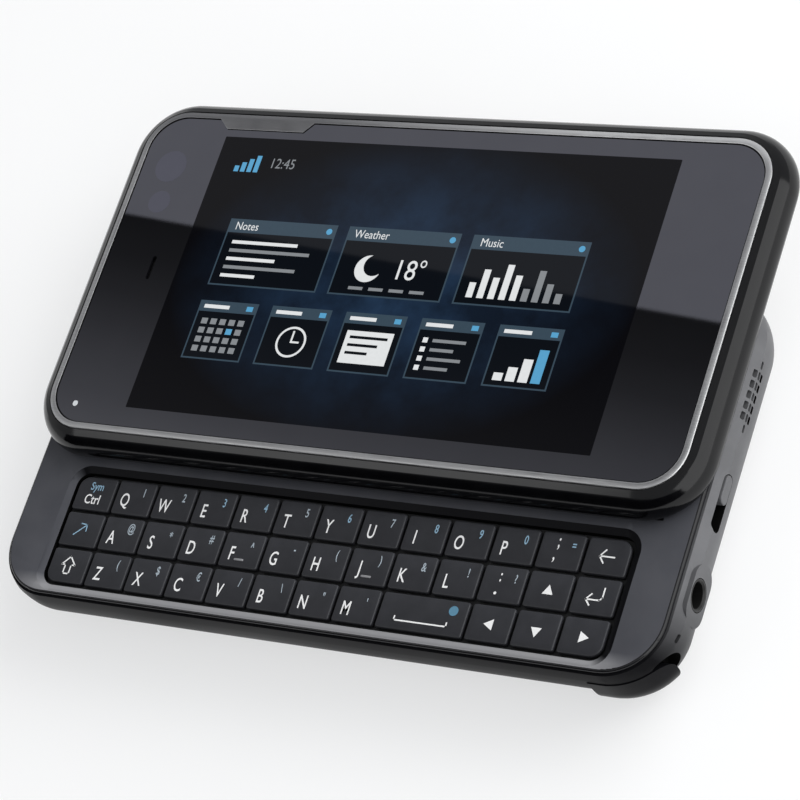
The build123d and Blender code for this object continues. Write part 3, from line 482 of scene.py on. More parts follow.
# points round a rectangle, counter-clockwise from the near right corner
def roundedOutline(left, right, near, far, radii, steps):
    corners = [
        (right, near, -90, -1, 1),
        (right, far, 0, -1, -1),
        (left, far, 90, 1, -1),
        (left, near, 180, 1, 1),
    ]
    points = []
    for (x, y, startAngle, inX, inY), radius in zip(corners, radii):
        centreX = x + inX * radius
        centreY = y + inY * radius
        for step in range(steps + 1):
            angle = math.radians(startAngle + 90 * step / steps)
            points.append((centreX + radius * math.cos(angle), centreY + radius * math.sin(angle)))
    return points


def centredOutline(x, y, width, length, radius, steps):
    return roundedOutline(x - width / 2, x + width / 2, y - length / 2, y + length / 2, [radius] * 4, steps)


# flat polygons at one height
def flatMesh(name, outlines, height):
    vertices = []
    faces = []
    for outline in outlines:
        first = len(vertices)
        vertices += [(x, y, height) for x, y in outline]
        faces.append(tuple(range(first, first + len(outline))))
    mesh = bpy.data.meshes.new(name)
    mesh.from_pydata(vertices, [], faces)
    return mesh


# one mesh from parts with a material number each, all facing up
def joinMeshes(name, parts):
    work = bmesh.new()
    for part, number in parts:
        before = len(work.faces)
        work.from_mesh(part)
        work.faces.ensure_lookup_table()
        for face in work.faces[before:]:
            face.material_index = number
            if face.normal.z < 0:
                face.normal_flip()
        bpy.data.meshes.remove(part)
    joined = bpy.data.meshes.new(name)
    work.to_mesh(joined)
    work.free()
    return joined


# plain mesh of a curve or of letters, and the curve itself is removed
def curveToMesh(name, curve):
    holder = bpy.data.objects.new(name, curve)
    scene.collection.objects.link(holder)
    bpy.context.view_layer.update()
    mesh = bpy.data.meshes.new_from_object(holder.evaluated_get(bpy.context.evaluated_depsgraph_get()))
    bpy.data.objects.remove(holder)
    bpy.data.curves.remove(curve)
    return mesh


# flat mesh inside the first outline and outside the others
def holedMesh(name, outlines, height):
    curve = bpy.data.curves.new(name, "CURVE")
    curve.dimensions = "2D"
    curve.fill_mode = "BOTH"
    for outline in outlines:
        spline = curve.splines.new("POLY")
        spline.points.add(len(outline) - 1)
        for point, (x, y) in zip(spline.points, outline):
            point.co = (x, y, 0, 1)
        spline.use_cyclic_u = True
    mesh = curveToMesh(name, curve)
    for vertex in mesh.vertices:
        vertex.co.z = height
    return joinMeshes(name, [(mesh, 0)])


# letters as a flat mesh, centred on a point
def textMesh(name, words, size, x, y, height, squeeze, boldness=0.0):
    curve = bpy.data.curves.new(name, "FONT")
    curve.body = words
    curve.size = size
    curve.align_x = "CENTER"
    curve.align_y = "CENTER"
    curve.offset = boldness
    curve.resolution_u = 4
    mesh = curveToMesh(name, curve)
    acrossX = [vertex.co.x for vertex in mesh.vertices]
    acrossY = [vertex.co.y for vertex in mesh.vertices]
    midX = (min(acrossX) + max(acrossX)) / 2
    midY = (min(acrossY) + max(acrossY)) / 2
    for vertex in mesh.vertices:
        vertex.co = Vector(((vertex.co.x - midX) * squeeze + x, vertex.co.y - midY + y, height))
    return mesh


# rectangles along a line of points
def strokes(points, width):
    shapes = []
    for (x0, y0), (x1, y1) in zip(points, points[1:]):
        along = Vector((x1 - x0, y1 - y0)).normalized() * width / 2
        side = Vector((-along.y, along.x))
        a = Vector((x0, y0)) - along
        b = Vector((x1, y1)) + along
        shapes.append([tuple(a - side), tuple(b - side), tuple(b + side), tuple(a + side)])
    return shapes


def disc(x, y, radius, count=20, turn=0.0):
    angles = [math.radians(turn) + 2 * math.pi * i / count for i in range(count)]
    return [(x + radius * math.cos(angle), y + radius * math.sin(angle)) for angle in angles]


# quads side by side along an arc round the middle
def arcBand(radius, startAngle, endAngle, width, count=18):
    angles = [math.radians(startAngle + (endAngle - startAngle) * i / count) for i in range(count + 1)]
    inner, outer = [
        [(reach * math.cos(angle), reach * math.sin(angle)) for angle in angles]
        for reach in (radius - width / 2, radius + width / 2)
    ]
    return [[inner[i], outer[i], outer[i + 1], inner[i + 1]] for i in range(count)]


# smooth closed skin over stacked rings of equal point count
def stackedMesh(name, rings):
    count = len(rings[0])
    top = (len(rings) - 1) * count
    faces = []
    for first in range(0, top, count):
        for i in range(count):
            j = (i + 1) % count
            faces.append((first + i, first + j, first + count + j, first + count + i))
    faces.append(tuple(range(count - 1, -1, -1)))
    faces.append(tuple(range(top, top + count)))
    mesh = bpy.data.meshes.new(name)
    mesh.from_pydata([point for ring in rings for point in ring], [], faces)
    for face in mesh.polygons:
        face.use_smooth = True
    return mesh


# crossing wires behind the two loudspeaker grilles, with black cloth behind them
gauze = {
    "wires": 0.055 * mm,
    "pitch": 0.24 * mm,
    "length": 12.4 * mm,
    "height": 2.3 * mm,
    "depth": 0.75 * mm,
    "centreY": 13.6 * mm,
    "centreZ": 10.02 * mm,
}


# node group with two crossing rows of wires over a rectangle in the YZ plane
def gauzeTree():
    tree = bpy.data.node_groups.new("gauze_wires", "GeometryNodeTree")
    tree.interface.new_socket("Geometry", in_out="OUTPUT", socket_type="NodeSocketGeometry")
    for label in ("Length", "Height", "Pitch", "Wire Radius"):
        tree.interface.new_socket(label, in_out="INPUT", socket_type="NodeSocketFloat")
    tree.interface.new_socket("Material", in_out="INPUT", socket_type="NodeSocketMaterial")
    given = tree.nodes.new("NodeGroupInput").outputs
    join = tree.nodes.new("GeometryNodeJoinGeometry")
    link = tree.links.new

    def wires(across, along, axis, turn):
        start = tree.nodes.new("ShaderNodeCombineXYZ")
        step = tree.nodes.new("ShaderNodeCombineXYZ")
        link(calculate(tree, "MULTIPLY", given[across], -0.5), start.inputs[axis])
        link(given["Pitch"], step.inputs[axis])
        line = tree.nodes.new("GeometryNodeMeshLine")
        link(calculate(tree, "DIVIDE", given[across], given["Pitch"]), line.inputs["Count"])
        link(start.outputs[0], line.inputs["Start Location"])
        link(step.outputs[0], line.inputs["Offset"])
        wire = tree.nodes.new("GeometryNodeMeshCylinder")
        wire.inputs["Vertices"].default_value = 6
        link(given["Wire Radius"], wire.inputs["Radius"])
        link(given[along], wire.inputs["Depth"])
        place = tree.nodes.new("GeometryNodeInstanceOnPoints")
        place.inputs["Rotation"].default_value = turn
        link(line.outputs["Mesh"], place.inputs["Points"])
        link(wire.outputs["Mesh"], place.inputs["Instance"])
        link(place.outputs["Instances"], join.inputs["Geometry"])

    wires("Length", "Height", "Y", (0, 0, 0))
    wires("Height", "Length", "Z", (math.pi / 2, 0, 0))
    real = tree.nodes.new("GeometryNodeRealizeInstances")
    paint = tree.nodes.new("GeometryNodeSetMaterial")
    sink = tree.nodes.new("NodeGroupOutput")
    link(join.outputs["Geometry"], real.inputs["Geometry"])
    link(real.outputs["Geometry"], paint.inputs["Geometry"])
    link(given["Material"], paint.inputs["Material"])
    link(paint.outputs["Geometry"], sink.inputs["Geometry"])
    return tree


# plain mesh of the wires round the middle
def gauzeMesh(tree):
    values = {
        "Length": gauze["length"],
        "Height": gauze["height"],
        "Pitch": gauze["pitch"],
        "Wire Radius": gauze["wires"],
        "Material": finishes["gauze_dark"],
    }
    holder = bpy.data.objects.new("gauze_maker", bpy.data.meshes.new("gauze_maker"))
    scene.collection.objects.link(holder)
    modifier = holder.modifiers.new("wires", "NODES")
    modifier.node_group = tree
    for item in tree.interface.items_tree:
        if item.in_out == "INPUT":
            modifier[item.identifier] = values[item.name]
    bpy.context.view_layer.update()
    mesh = bpy.data.meshes.new_from_object(holder.evaluated_get(bpy.context.evaluated_depsgraph_get()))
    bpy.data.objects.remove(holder)
    mesh.materials.clear()
    return mesh


wireTree = gauzeTree()
for name, wallX, outward in (("right", caseHigh.x, 1), ("left", caseLow.x, -1)):
    mesh = gauzeMesh(wireTree)
    y, z = gauze["centreY"], gauze["centreZ"]
    mesh.transform(Matrix.Translation((wallX - outward * gauze["depth"], y, z)))
    addPiece("gauze_" + name, mesh, "base", "jack_plastic", finishes["gauze_dark"])
    x = wallX - outward * (gauze["depth"] + 2 * gauze["wires"])
    halfY, halfZ = gauze["length"] / 2, gauze["height"] / 2
    corners = [(x, y - halfY, z - halfZ), (x, y + halfY, z - halfZ), (x, y + halfY, z + halfZ),
               (x, y - halfY, z + halfZ)]
    cloth = bpy.data.meshes.new("cloth_" + name)
    cloth.from_pydata(corners, [], [(0, 1, 2, 3) if outward > 0 else (3, 2, 1, 0)])
    addPiece("cloth_" + name, cloth, "base", "jack_plastic", finishes["jack_black"])
print("grilles filled")

# key caps, and the four of them with one large corner at a corner of the key field
keyShape = {
    "edge": 0.24 * mm,
    "edgeSteps": 4,
    "dish": 0.05 * mm,
    "dishShares": (0.3, 0.55, 0.8),
    "corner": 0.40 * mm,
    "outerCorner": 1.75 * mm,
    "outerCorners": {"shift": 3, "ctrl": 2, "backspace": 1, "right": 0},
    "cornerSteps": 5,
}
homeKeys = ("f", "j")
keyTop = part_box("key_d")[1].z


# cap with rounded edges and a softly dished top, sized from its CAD box
def keyCap(node):
    low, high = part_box(node)
    name = node[4:]
    radii = [keyShape["corner"]] * 4
    if name in keyShape["outerCorners"]:
        radii[keyShape["outerCorners"][name]] = keyShape["outerCorner"]
    top = keyTop if name in homeKeys else high.z  # the box of a home key ends at its bar
    edge = keyShape["edge"]

    def ringAt(inset, height):
        smaller = [max(radius - inset, 0.05 * mm) for radius in radii]
        outline = roundedOutline(low.x + inset, high.x - inset, low.y + inset, high.y - inset,
                                 smaller, keyShape["cornerSteps"])
        return [(x, y, height) for x, y in outline]

    rings = [ringAt(0, low.z), ringAt(0, top - edge)]
    for step in range(1, keyShape["edgeSteps"] + 1):
        angle = math.pi / 2 * step / keyShape["edgeSteps"]
        rings.append(ringAt(edge * (1 - math.cos(angle)), top - edge + edge * math.sin(angle)))
    half = min(high.x - low.x, high.y - low.y) / 2
    for share in keyShape["dishShares"]:
        sink = keyShape["dish"] * math.sin(share * math.pi / 2)
        rings.append(ringAt(edge + (half - edge) * share, top - sink))
    return stackedMesh(node + "_cap", rings)


# printed marks, in mm from the middle of their key, drawn as words, lines, dots and wedges
legendPrint = {
    "lift": 0.006 * mm,
    "boldness": 0.024 * mm,
    "letterSize": 2.95,
    "letterPlace": (-1.45, -0.55),
    "smallSize": 1.85,
    "smallPlace": (1.55, 1.0),
    "blueDigits": "346890",
    "squeeze": 0.66,
    "line": 0.22,
}
legendInks = {
    "white": ink("legend_white", (0.80, 0.80, 0.80)),
    "blue": ink("legend_blue", (0.26, 0.42, 0.55)),
    "pale": ink("legend_pale", (0.36, 0.42, 0.47)),
    "deep": ink("legend_deep", (0.09, 0.22, 0.32)),
}
legends = {
    "ctrl": [{"text": "Sym", "size": 1.75, "at": (0.1, 1.0), "ink": "blue", "squeeze": 0.8},
             {"text": "Ctrl", "size": 2.1, "at": (-0.1, -0.9), "squeeze": 0.8}],
    "semicolon": [{"text": ";", "size": 2.9, "at": (-0.5, 1.0)},
                  {"text": ",", "size": 2.9, "at": (-0.7, -1.35)},
                  {"text": "=", "size": 1.8, "at": (1.85, 1.0), "ink": "blue"}],
    "colon": [{"text": ":", "size": 2.6, "at": (-0.5, 1.0)},
              {"dot": 0.22, "at": (-0.7, -1.35)},
              {"text": "?", "size": 1.8, "at": (1.85, 1.0), "ink": "pale"}],
    "backspace": [{"line": [(-1.1, 0), (1.1, 0)]},
                  {"line": [(-0.35, 0.95), (-1.1, 0), (-0.35, -0.95)]}],
    "enter": [{"line": [(-1.25, -0.5), (0.75, -0.5), (1.15, -0.1), (1.15, 1.3)]},
              {"line": [(-0.55, 0.3), (-1.25, -0.5), (-0.55, -1.3)]}],
    "shift": [{"line": [(0, 1.45), (-1.15, 0.15), (-0.5, 0.15), (-0.5, -1.25), (0.5, -1.25), (0.5, 0.15),
                        (1.15, 0.15), (0, 1.45)]}],
    "fn": [{"line": [(-1.1, -0.9), (0.75, 0.85)], "width": 0.176, "ink": "blue"},
           {"line": [(-0.25, 0.95), (0.75, 0.85), (0.85, -0.15)], "width": 0.176, "ink": "blue"}],
    "space": [{"line": [(-4.1, -0.75), (-4.1, -1.3), (4.1, -1.3), (4.1, -0.75)]},
              {"dot": 0.72, "at": (4.6, 1.1), "points": 28, "ink": "deep"}],
}
for name, turn in (("up", 90), ("left", 180), ("down", 270), ("right", 0)):
    legends[name] = [{"wedge": 0.95, "at": (0, -0.1), "turn": turn}]
smallSigns = dict(zip("qwertyuiop", "1234567890"))
smallSigns.update(zip("asdfghjklzxcvbnm", "@*#^-()&!($€/\\\"'"))
for name, sign in smallSigns.items():
    legends[name] = [
        {"text": name.upper(), "size": legendPrint["letterSize"], "at": legendPrint["letterPlace"]},
        {"text": sign, "size": legendPrint["smallSize"], "at": legendPrint["smallPlace"],
         "ink": "blue" if sign in legendPrint["blueDigits"] else "pale"},
    ]


def legendMesh(node):
    low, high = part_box(node)
    midX, midY = (low.x + high.x) / 2, (low.y + high.y) / 2
    height = keyTop + legendPrint["lift"]
    parts = []
    for mark in legends[node[4:]]:
        offsetX, offsetY = mark.get("at", (0, 0))
        x, y = midX + offsetX * mm, midY + offsetY * mm
        if "text" in mark:
            squeeze = mark.get("squeeze", legendPrint["squeeze"])
            part = textMesh("mark", mark["text"], mark["size"] * mm, x, y, height, squeeze,
                            legendPrint["boldness"])
        elif "line" in mark:
            points = [(x + a * mm, y + b * mm) for a, b in mark["line"]]
            part = flatMesh("mark", strokes(points, mark.get("width", legendPrint["line"]) * mm), height)
        elif "dot" in mark:
            part = flatMesh("mark", [disc(x, y, mark["dot"] * mm, mark.get("points", 20))], height)
        else:
            part = flatMesh("mark", [disc(x, y, mark["wedge"] * mm, 3, mark["turn"])], height)
        parts.append((part, list(legendInks).index(mark.get("ink", "white"))))
    return joinMeshes(node + "_legend", parts)


# raised bar on the two home keys
homeBar = {"fromMiddle": 1.456 * mm, "size": (1.6 * mm, 0.34 * mm), "round": 0.15 * mm,
           "topSize": (1.44 * mm, 0.18 * mm), "topRound": 0.08 * mm, "root": 0.2 * mm, "shoulder": 0.05 * mm}


def homeBarMesh(node):
    low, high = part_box(node)
    x = (low.x + high.x) / 2
    y = (low.y + high.y) / 2 - homeBar["fromMiddle"]
    foot = centredOutline(x, y, *homeBar["size"], homeBar["round"], 4)
    ridge = centredOutline(x, y, *homeBar["topSize"], homeBar["topRound"], 4)
    levels = [(foot, homeBar["root"]), (foot, homeBar["shoulder"]), (ridge, 0.0)]
    rings = [[(a, b, high.z - drop) for a, b in outline] for outline, drop in levels]
    return stackedMesh(node + "_bar", rings)


for node in sorted(name for name in nodes if name.startswith("key_")):
    body = nodes[node]["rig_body"]
    piece = addPiece(node + "_cap", keyCap(node), body, "key_plastic", finishes["key_charcoal"])
    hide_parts(node)
    addPiece(node + "_legend", legendMesh(node), body, "key_plastic", *legendInks.values())
    if node[4:] in homeKeys:
        addPiece(node + "_bar", homeBarMesh(node), body, "key_plastic", finishes["key_bar"])
print("keys made")

# signs printed on the keys of the rear edge
rearMark = {"line": 0.13 * mm, "half": 0.5 * mm, "lift": 0.008 * mm, "fromEnd": 1.9 * mm}
signInk = ink("edge_key_sign", (0.42, 0.42, 0.43))


# flat outlines stood up on the rear face of an edge key
def rearSign(node, outlines):
    low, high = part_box(node)
    mesh = joinMeshes(node + "_sign", [(flatMesh("sign", outlines, 0.0), 0)])
    middle = Vector(((low.x + high.x) / 2, high.y + rearMark["lift"], (low.z + high.z) / 2))
    stand = Matrix(((-1, 0, 0), (0, 0, 1), (0, 1, 0))).to_4x4()
    mesh.transform(Matrix.Translation(middle) @ stand)
    addPiece(node + "_sign", mesh, nodes[node]["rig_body"], "edge_key_plastic", signInk)


line, half = rearMark["line"], rearMark["half"]
low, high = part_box("volume_key")
reach = (high.x - low.x) / 2 - rearMark["fromEnd"]
minus = strokes([(-reach - half, 0), (-reach + half, 0)], line)
plus = strokes([(reach - half, 0), (reach + half, 0)], line) + strokes([(reach, -half), (reach, half)], line)
rearSign("volume_key", minus + plus)
rearSign("power_key", arcBand(half, 125, 415, line) + strokes([(0, 0), (0, half * 1.3)], line))
wide = half * 1.5
frameLine = [(-wide, -half), (wide, -half), (wide, half), (-wide, half), (-wide, -half)]
rearSign("camera_key", strokes(frameLine, line) + arcBand(half * 0.5, 0, 360, line))
print("edge keys marked")

# window glass over the display, whose top is drawn down a little, clear of the glass
window = {"inset": 0.05 * mm, "corner": 5.6 * mm, "layer": 0.006 * mm, "drop": 0.2 * mm}
screen = {"x": 0.0, "y": 22.15 * mm, "width": 75.9 * mm, "height": 45.5 * mm, "margin": 0.3 * mm}
earSlot = {"x": -42.9 * mm, "y": 22.1 * mm, "width": 0.7 * mm, "length": 3.9 * mm, "round": 0.3 * mm}
windowLow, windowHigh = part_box("display_window")
printZ = windowHigh.z + window["layer"]
panelZ = printZ + window["layer"]
dressNode("display_window", finishes["window_black"], "window_glass", 30)
for vertex in dressNode("lcd_module", finishes["optics_black"], "display_panel", 30).vertices:
    if vertex.co.z > windowLow.z - 0.01 * mm:
        vertex.co.z = windowLow.z - window["drop"]

# thin printed layer round the picture, with a hole for the earpiece
inset = window["inset"]
outer = roundedOutline(windowLow.x + inset, windowHigh.x - inset, windowLow.y + inset, windowHigh.y - inset,
                       [window["corner"]] * 4, 12)
picture = centredOutline(screen["x"], screen["y"], screen["width"], screen["height"], 0.05 * mm, 2)
slot = centredOutline(earSlot["x"], earSlot["y"], earSlot["width"], earSlot["length"], earSlot["round"], 6)
addPiece("window_print", holedMesh("window_print", [outer, picture, slot], printZ), "lid",
         "display_panel", finishes["window_print"])

glow = {"colour": (0.016, 0.040, 0.085), "scaleX": 26, "scaleY": 40, "cloud": 90, "specular": 0.4}


# black picture ground with a dim blue glow in the middle
def glowMaterial():
    made, tree, shader = newMaterial("screen_glow")
    shader.inputs["Base Color"].default_value = (0.002, 0.002, 0.003, 1)
    shader.inputs["Specular IOR Level"].default_value = glow["specular"]
    shader.inputs["Emission Color"].default_value = (*glow["colour"], 1)
    tree.links.new(spread(tree, grain(tree, 40, 6.0, 0.7), 0.012, 0.03), shader.inputs["Roughness"])
    centre = tree.nodes.new("ShaderNodeMapping")
    scaleX, scaleY = glow["scaleX"], glow["scaleY"]
    centre.inputs["Location"].default_value = (-screen["x"] * scaleX, -screen["y"] * scaleY, 0)
    centre.inputs["Scale"].default_value = (scaleX, scaleY, 0)
    tree.links.new(coordinate(tree), centre.inputs["Vector"])
    ball = tree.nodes.new("ShaderNodeTexGradient")
    ball.gradient_type = "SPHERICAL"
    tree.links.new(centre.outputs["Vector"], ball.inputs["Vector"])
    cloud = spread(tree, grain(tree, glow["cloud"], 5.0, 0.6), 0.35, 1.0)
    strength = calculate(tree, "MULTIPLY", ball.outputs["Fac"], cloud)
    tree.links.new(strength, shader.inputs["Emission Strength"])
    return made


panel = centredOutline(screen["x"], screen["y"], screen["width"] + 2 * screen["margin"],
                       screen["height"] + 2 * screen["margin"], 0.1 * mm, 2)
addPiece("screen_panel", flatMesh("screen_panel", [panel], panelZ), "lid", "display_panel", glowMaterial())

# home screen of cards and tiles, in mm from the picture's rear left corner
homeScreen = {
    "step": 0.008 * mm,
    "squeeze": 0.85,
    "rim": 0.25,
    "signal": {"left": 3.2, "foot": 5.6, "pitch": 1.15, "width": 0.8, "heights": (1.0, 1.62, 2.24, 2.86)},
    "clock": {"text": "12:45", "size": 2.4, "at": (11.6, 3.9)},
    "card": {"top": 13.6, "width": 18.8, "height": 11.2, "title": 2.3},
    "cards": {"Notes": 6.0, "Weather": 26.8, "Music": 47.6},
    "notes": {"at": (7.6, 17.2), "pitch": 1.4, "line": 0.55, "widths": (11.5, 14.0, 8.5, 12.5, 6.0)},
    "moon": {"at": (32.2, 20.3), "radius": 2.2, "biteAt": (33.1, 19.7), "bite": 1.75},
    "warmth": {"text": "18°", "size": 4.6, "at": (39.4, 20.0)},
    "days": {"at": (30.0, 23.3), "pitch": 3.4, "size": (2.4, 0.5), "count": 4},
    "music": {"left": 49.4, "foot": 23.6, "pitch": 1.75, "width": 1.05,
              "heights": (2.4, 4.6, 3.4, 5.6, 4.0, 2.0, 5.0, 3.0, 1.6)},
    "tile": {"left": 6.0, "top": 27.4, "pitch": 12.6, "width": 10.2, "height": 9.6, "title": 1.8},
    "month": {"at": (7.3, 30.3), "pitch": (1.6, 1.5), "size": (1.05, 0.95), "today": (1, 3)},
    "dial": {"at": (23.7, 33.0), "radius": 2.5, "inner": 2.15, "hand": 0.3},
    "letter": {"at": (32.4, 30.3), "size": (7.8, 5.2)},
    "list": {"at": (45.0, 30.4), "pitch": 1.45},
    "steps": {"left": 57.8, "foot": 36.0, "pitch": 2.0, "width": 1.5, "heights": (1.2, 2.2, 3.6, 5.2)},
}
litInks = {
    "white": ink("lit_white", (0.85, 0.87, 0.88), glow=0.9, rough=0.02),
    "grey": ink("lit_grey", (0.30, 0.32, 0.34), glow=0.8, rough=0.02),
    "blue": ink("lit_blue", (0.10, 0.36, 0.60), glow=1.0, rough=0.02),
    "steel": ink("lit_steel", (0.045, 0.075, 0.105), glow=0.9, rough=0.02),
    "night": ink("lit_night", (0.004, 0.006, 0.010), glow=0.7, rough=0.02),
}


def screenPicture():
    parts = []
    originX = screen["x"] - screen["width"] / 2
    originY = screen["y"] + screen["height"] / 2

    def lay(part, colour):
        parts.append((part, list(litInks).index(colour)))

    def levelZ(level):
        return panelZ + level * homeScreen["step"]

    def block(left, top, width, height, colour, level):
        x, y = originX + left * mm, originY - top * mm
        outline = [(x, y - height * mm), (x + width * mm, y - height * mm), (x + width * mm, y), (x, y)]
        lay(flatMesh("block", [outline], levelZ(level)), colour)

    def dot(left, top, radius, colour, level, count=24):
        outline = disc(originX + left * mm, originY - top * mm, radius * mm, count)
        lay(flatMesh("dot", [outline], levelZ(level)), colour)

    def words(text, size, left, top, colour, level):
        x, y = originX + left * mm, originY - top * mm
        lay(textMesh("word", text, size * mm, x, y, levelZ(level), homeScreen["squeeze"]), colour)

    def bars(row, colours, level):
        for i, height in enumerate(row["heights"]):
            left = row["left"] + i * row["pitch"]
            block(left, row["foot"] - height, row["width"], height, colours[i], level)

    def box(left, shape):
        rim = homeScreen["rim"]
        block(left, shape["top"], shape["width"], shape["height"], "steel", 1)
        block(left + rim, shape["top"] + shape["title"], shape["width"] - 2 * rim,
              shape["height"] - shape["title"] - rim, "night", 2)

    bars(homeScreen["signal"], ["blue"] * 4, 1)
    clock = homeScreen["clock"]
    words(clock["text"], clock["size"], *clock["at"], "grey", 1)

    card = homeScreen["card"]
    titleMiddle = card["top"] + card["title"] / 2
    for title, left in homeScreen["cards"].items():
        box(left, card)
        words(title, 1.9, left + 1.2 + 0.42 * len(title), titleMiddle, "white", 2)
        dot(left + card["width"] - 1.2, titleMiddle, 0.5, "blue", 2)

    notes = homeScreen["notes"]
    for i, width in enumerate(notes["widths"]):
        block(notes["at"][0], notes["at"][1] + i * notes["pitch"], width, notes["line"],
              "white" if i % 2 == 0 else "grey", 3)

    moon, warmth, days = homeScreen["moon"], homeScreen["warmth"], homeScreen["days"]
    dot(*moon["at"], moon["radius"], "white", 3, 32)
    dot(*moon["biteAt"], moon["bite"], "night", 4, 32)
    words(warmth["text"], warmth["size"], *warmth["at"], "white", 3)
    for i in range(days["count"]):
        block(days["at"][0] + i * days["pitch"], days["at"][1], *days["size"], "grey", 3)

    bars(homeScreen["music"], ["white"] * 5 + ["grey"] * 4, 3)

    tile = homeScreen["tile"]
    for i in range(5):
        left = tile["left"] + i * tile["pitch"]
        box(left, tile)
        block(left + 0.9, tile["top"] + 0.65, 4.4, 0.6, "white", 2)
        block(left + 8.3, tile["top"] + 0.55, 1.1, 0.8, "blue", 2)

    month = homeScreen["month"]
    for row in range(4):
        for column in range(5):
            block(month["at"][0] + column * month["pitch"][0], month["at"][1] + row * month["pitch"][1],
                  *month["size"], "blue" if (row, column) == month["today"] else "grey", 3)

    dial = homeScreen["dial"]
    (dialX, dialY), hand = dial["at"], dial["hand"]
    dot(dialX, dialY, dial["radius"], "white", 3, 36)
    dot(dialX, dialY, dial["inner"], "night", 4, 36)
    block(dialX - hand / 2, dialY - 1.8, hand, 1.9, "white", 5)
    block(dialX - hand / 2, dialY - hand / 2, 1.5, hand, "white", 5)

    letter = homeScreen["letter"]
    block(*letter["at"], *letter["size"], "white", 3)
    for i in range(3):
        block(letter["at"][0] + 0.7, letter["at"][1] + 0.8 + i * 1.25, 6.3 - i * 1.3, 0.45, "night", 4)

    rows = homeScreen["list"]
    for i in range(4):
        left, top = rows["at"][0], rows["at"][1] + i * rows["pitch"]
        block(left, top, 0.8, 0.8, "white", 3)
        block(left + 1.6, top + 0.15, 5.4 - (i % 2) * 1.6, 0.5, "grey", 3)

    bars(homeScreen["steps"], ["white"] * 3 + ["blue"], 3)
    return joinMeshes("screen_picture", parts)


addPiece("screen_picture", screenPicture(), "lid", "display_panel", *litInks.values())
print("window and display made")

# front camera, light sensor and charging lamp behind the window: place and radius
earSide = {
    "lens": (-46.2 * mm, 39.5 * mm, 2.7 * mm),
    "sensor": (-45.9 * mm, 33.3 * mm, 1.9 * mm),
    "lamp": (-47.25 * mm, -1.14 * mm, 0.45 * mm),
}
finishes["lamp_white"] = ink("lamp_white", (0.62, 0.64, 0.66), rough=0.3)
for part, (x, y, radius) in earSide.items():
    finish = "lamp_white" if part == "lamp" else "sensor_smoke"
    mesh = flatMesh("ear_" + part, [disc(x, y, radius, 40)], printZ + window["layer"])
    addPiece("ear_" + part, mesh, "lid", "sensor_plastic", finishes[finish])
print("ear side made")

# soft boxes, in metres and watts, all turned to the phone
phoneMiddle = Vector((0, 0.012, 0.01))
lamps = {
    "rear_right_box": {"place": (0.62, 0.70, 0.55), "size": (1.3, 0.9), "power": 12.5, "mirrored": False},
    "right_strip": {"place": (0.95, 0.0, 0.46), "size": (1.6, 1.1), "power": 9.0, "mirrored": True},
    "front_left_strip": {"place": (-0.66, -0.53, 0.95), "size": (0.3, 0.3), "power": 0.5, "mirrored": True},
}
for name, settings in lamps.items():
    light = bpy.data.lights.new(name, "AREA")
    light.shape = "RECTANGLE"
    light.size, light.size_y = settings["size"]
    light.energy = settings["power"]
    lamp = bpy.data.objects.new(name, light)
    scene.collection.objects.link(lamp)
    lamp.location = settings["place"]
    lamp.rotation_euler = (phoneMiddle - lamp.location).to_track_quat("-Z", "Y").to_euler()
    lamp.visible_glossy = settings["mirrored"]


def addStage(name, mesh, material):
    mesh.materials.append(material)
    made = bpy.data.objects.new(name, mesh)
    scene.collection.objects.link(made)
    return made


# black card that only mirrors see and that keeps the front of the phone dark
flagCorners = [(-0.6, -0.38, 0.0), (0.5, -0.38, 0.0), (0.5, -0.38, 0.3), (-0.6, -0.38, 0.3)]
flagMesh = bpy.data.meshes.new("front_flag")
flagMesh.from_pydata(flagCorners, [], [(0, 1, 2, 3)])
card = addStage("front_flag", flagMesh, surface("flag_black", {
    "dark": (0.003, 0.003, 0.003), "light": (0.004, 0.004, 0.004), "sheen": (0.9, 1.0), "specular": 0.0}))
card.visible_camera = False
card.visible_shadow = False
card.visible_diffuse = False

# graded card over the phone, which its flat tops mirror: fading to dark, then bright past a hard edge
gradedCard = {
    "corners": [(-1.25, 0.02), (0.05, -0.02), (0.05, 0.80), (-1.25, 0.80)],
    "height": 0.7,
    "turn": math.atan2(0.031, 0.303),
    "from": 0.230,
    "to": 0.345,
    "first": (0.20, 0.20, 0.205, 1),
    "shades": [(0.113, 0.155), (0.287, 0.116), (0.41, 0.082), (0.54, 0.052), (0.69, 0.032), (0.859, 0.022)],
    "edge": 0.861,
    "bright": (0.28, 0.28, 0.295, 1),
}


def gradedMaterial():
    made = bpy.data.materials.new("graded_card")
    made.use_nodes = True
    tree = made.node_tree
    tree.nodes.clear()
    turned = tree.nodes.new("ShaderNodeMapping")
    turned.inputs["Rotation"].default_value = (0, 0, gradedCard["turn"])
    tree.links.new(coordinate(tree), turned.inputs["Vector"])
    along = axes(tree, turned.outputs["Vector"])["Y"]
    ramp = tree.nodes.new("ShaderNodeValToRGB")
    tree.links.new(spread(tree, along, 0.0, 1.0, gradedCard["from"], gradedCard["to"]), ramp.inputs["Fac"])
    stops = ramp.color_ramp.elements
    stops[1].position = gradedCard["edge"]
    stops[1].color = gradedCard["bright"]
    stops[0].color = gradedCard["first"]
    for position, shade in gradedCard["shades"]:
        stops.new(position).color = (shade, shade, shade * 1.04, 1)
    light = tree.nodes.new("ShaderNodeEmission")
    tree.links.new(ramp.outputs["Color"], light.inputs["Color"])
    out = tree.nodes.new("ShaderNodeOutputMaterial")
    tree.links.new(light.outputs["Emission"], out.inputs["Surface"])
    return made


cardMesh = flatMesh("graded_card", [gradedCard["corners"]], gradedCard["height"])
addStage("graded_card", cardMesh, gradedMaterial())

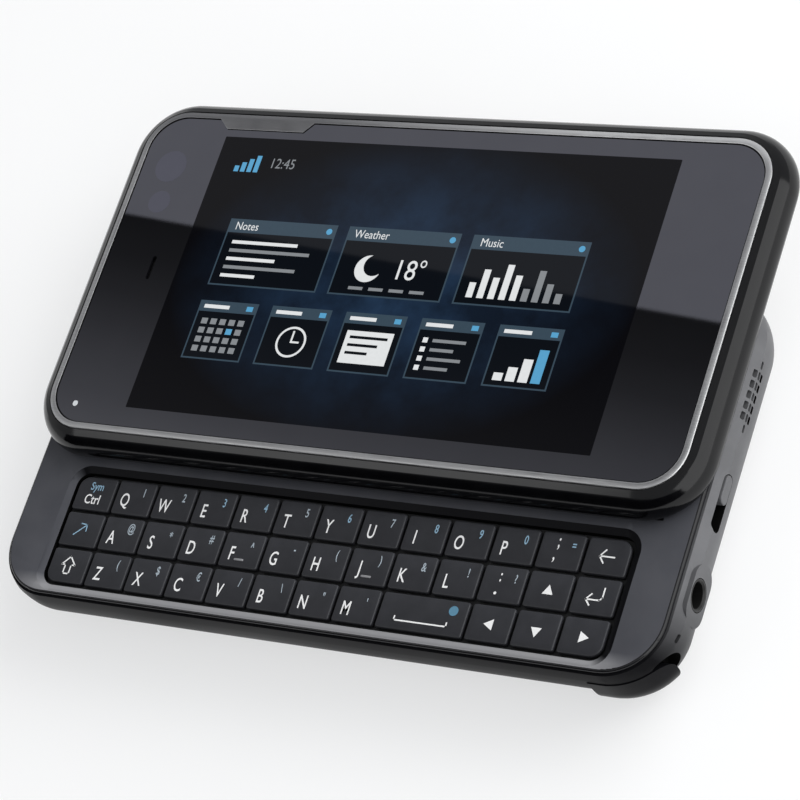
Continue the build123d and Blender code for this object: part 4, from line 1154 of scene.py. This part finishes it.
# pale room and a white floor that keeps the shadow
room = {"colour": (0.96, 0.98, 1.0, 1), "strength": 0.5}
world = bpy.data.worlds.new("room")
scene.world = world
world.use_nodes = True
world.node_tree.nodes["Background"].inputs["Color"].default_value = room["colour"]
world.node_tree.nodes["Background"].inputs["Strength"].default_value = room["strength"]

ground = {
    "half": 3.0,
    "paint": {"dark": (0.93, 0.93, 0.93), "light": (0.95, 0.95, 0.95), "sheen": (0.7, 0.8), "specular": 0.2,
              "smudge": 5},
    "white": (0.97, 0.975, 0.98, 1),
    "share": 0.6,
}
floorPaint = surface("floor_white", ground["paint"])
tree = floorPaint.node_tree
path = tree.nodes.new("ShaderNodeLightPath")
seen = path.outputs["Is Camera Ray"]
for label in ("Is Glossy Ray", "Is Transmission Ray"):
    seen = calculate(tree, "MAXIMUM", seen, path.outputs[label])
white = tree.nodes.new("ShaderNodeEmission")
white.inputs["Color"].default_value = ground["white"]
mixed = tree.nodes.new("ShaderNodeMixShader")
tree.links.new(calculate(tree, "MULTIPLY", seen, ground["share"]), mixed.inputs["Fac"])
tree.links.new(tree.nodes["Principled BSDF"].outputs["BSDF"], mixed.inputs[1])
tree.links.new(white.outputs["Emission"], mixed.inputs[2])
tree.links.new(mixed.outputs["Shader"], tree.nodes["Material Output"].inputs["Surface"])
far = ground["half"]
floorMesh = flatMesh("floor", [[(-far, -far), (far, -far), (far, far), (-far, far)]], 0.0)
addStage("floor", floorMesh, floorPaint)

# camera from the front right, its axes and place in the object's frame
view = {
    "right": Vector((0.856, 0.300, -0.422)),
    "back": Vector((0.511, -0.356, 0.782)),
    "place": Vector((235.2, -154.7, 367.6)) * mm,
    "lens": 144.44,
}
back = view["back"].normalized()
right = (view["right"] - back * view["right"].dot(back)).normalized()
cameraData = bpy.data.cameras.new("view")
cameraData.lens = view["lens"]
cameraData.sensor_width = 36
cameraData.clip_start = 0.01
camera = bpy.data.objects.new("view", cameraData)
scene.collection.objects.link(camera)
turn = Matrix((right, back.cross(right), back)).transposed().to_4x4()
camera.matrix_world = Matrix.Translation(view["place"]) @ turn
scene.camera = camera
scene.view_settings.view_transform = "Standard"
print("light and view set")
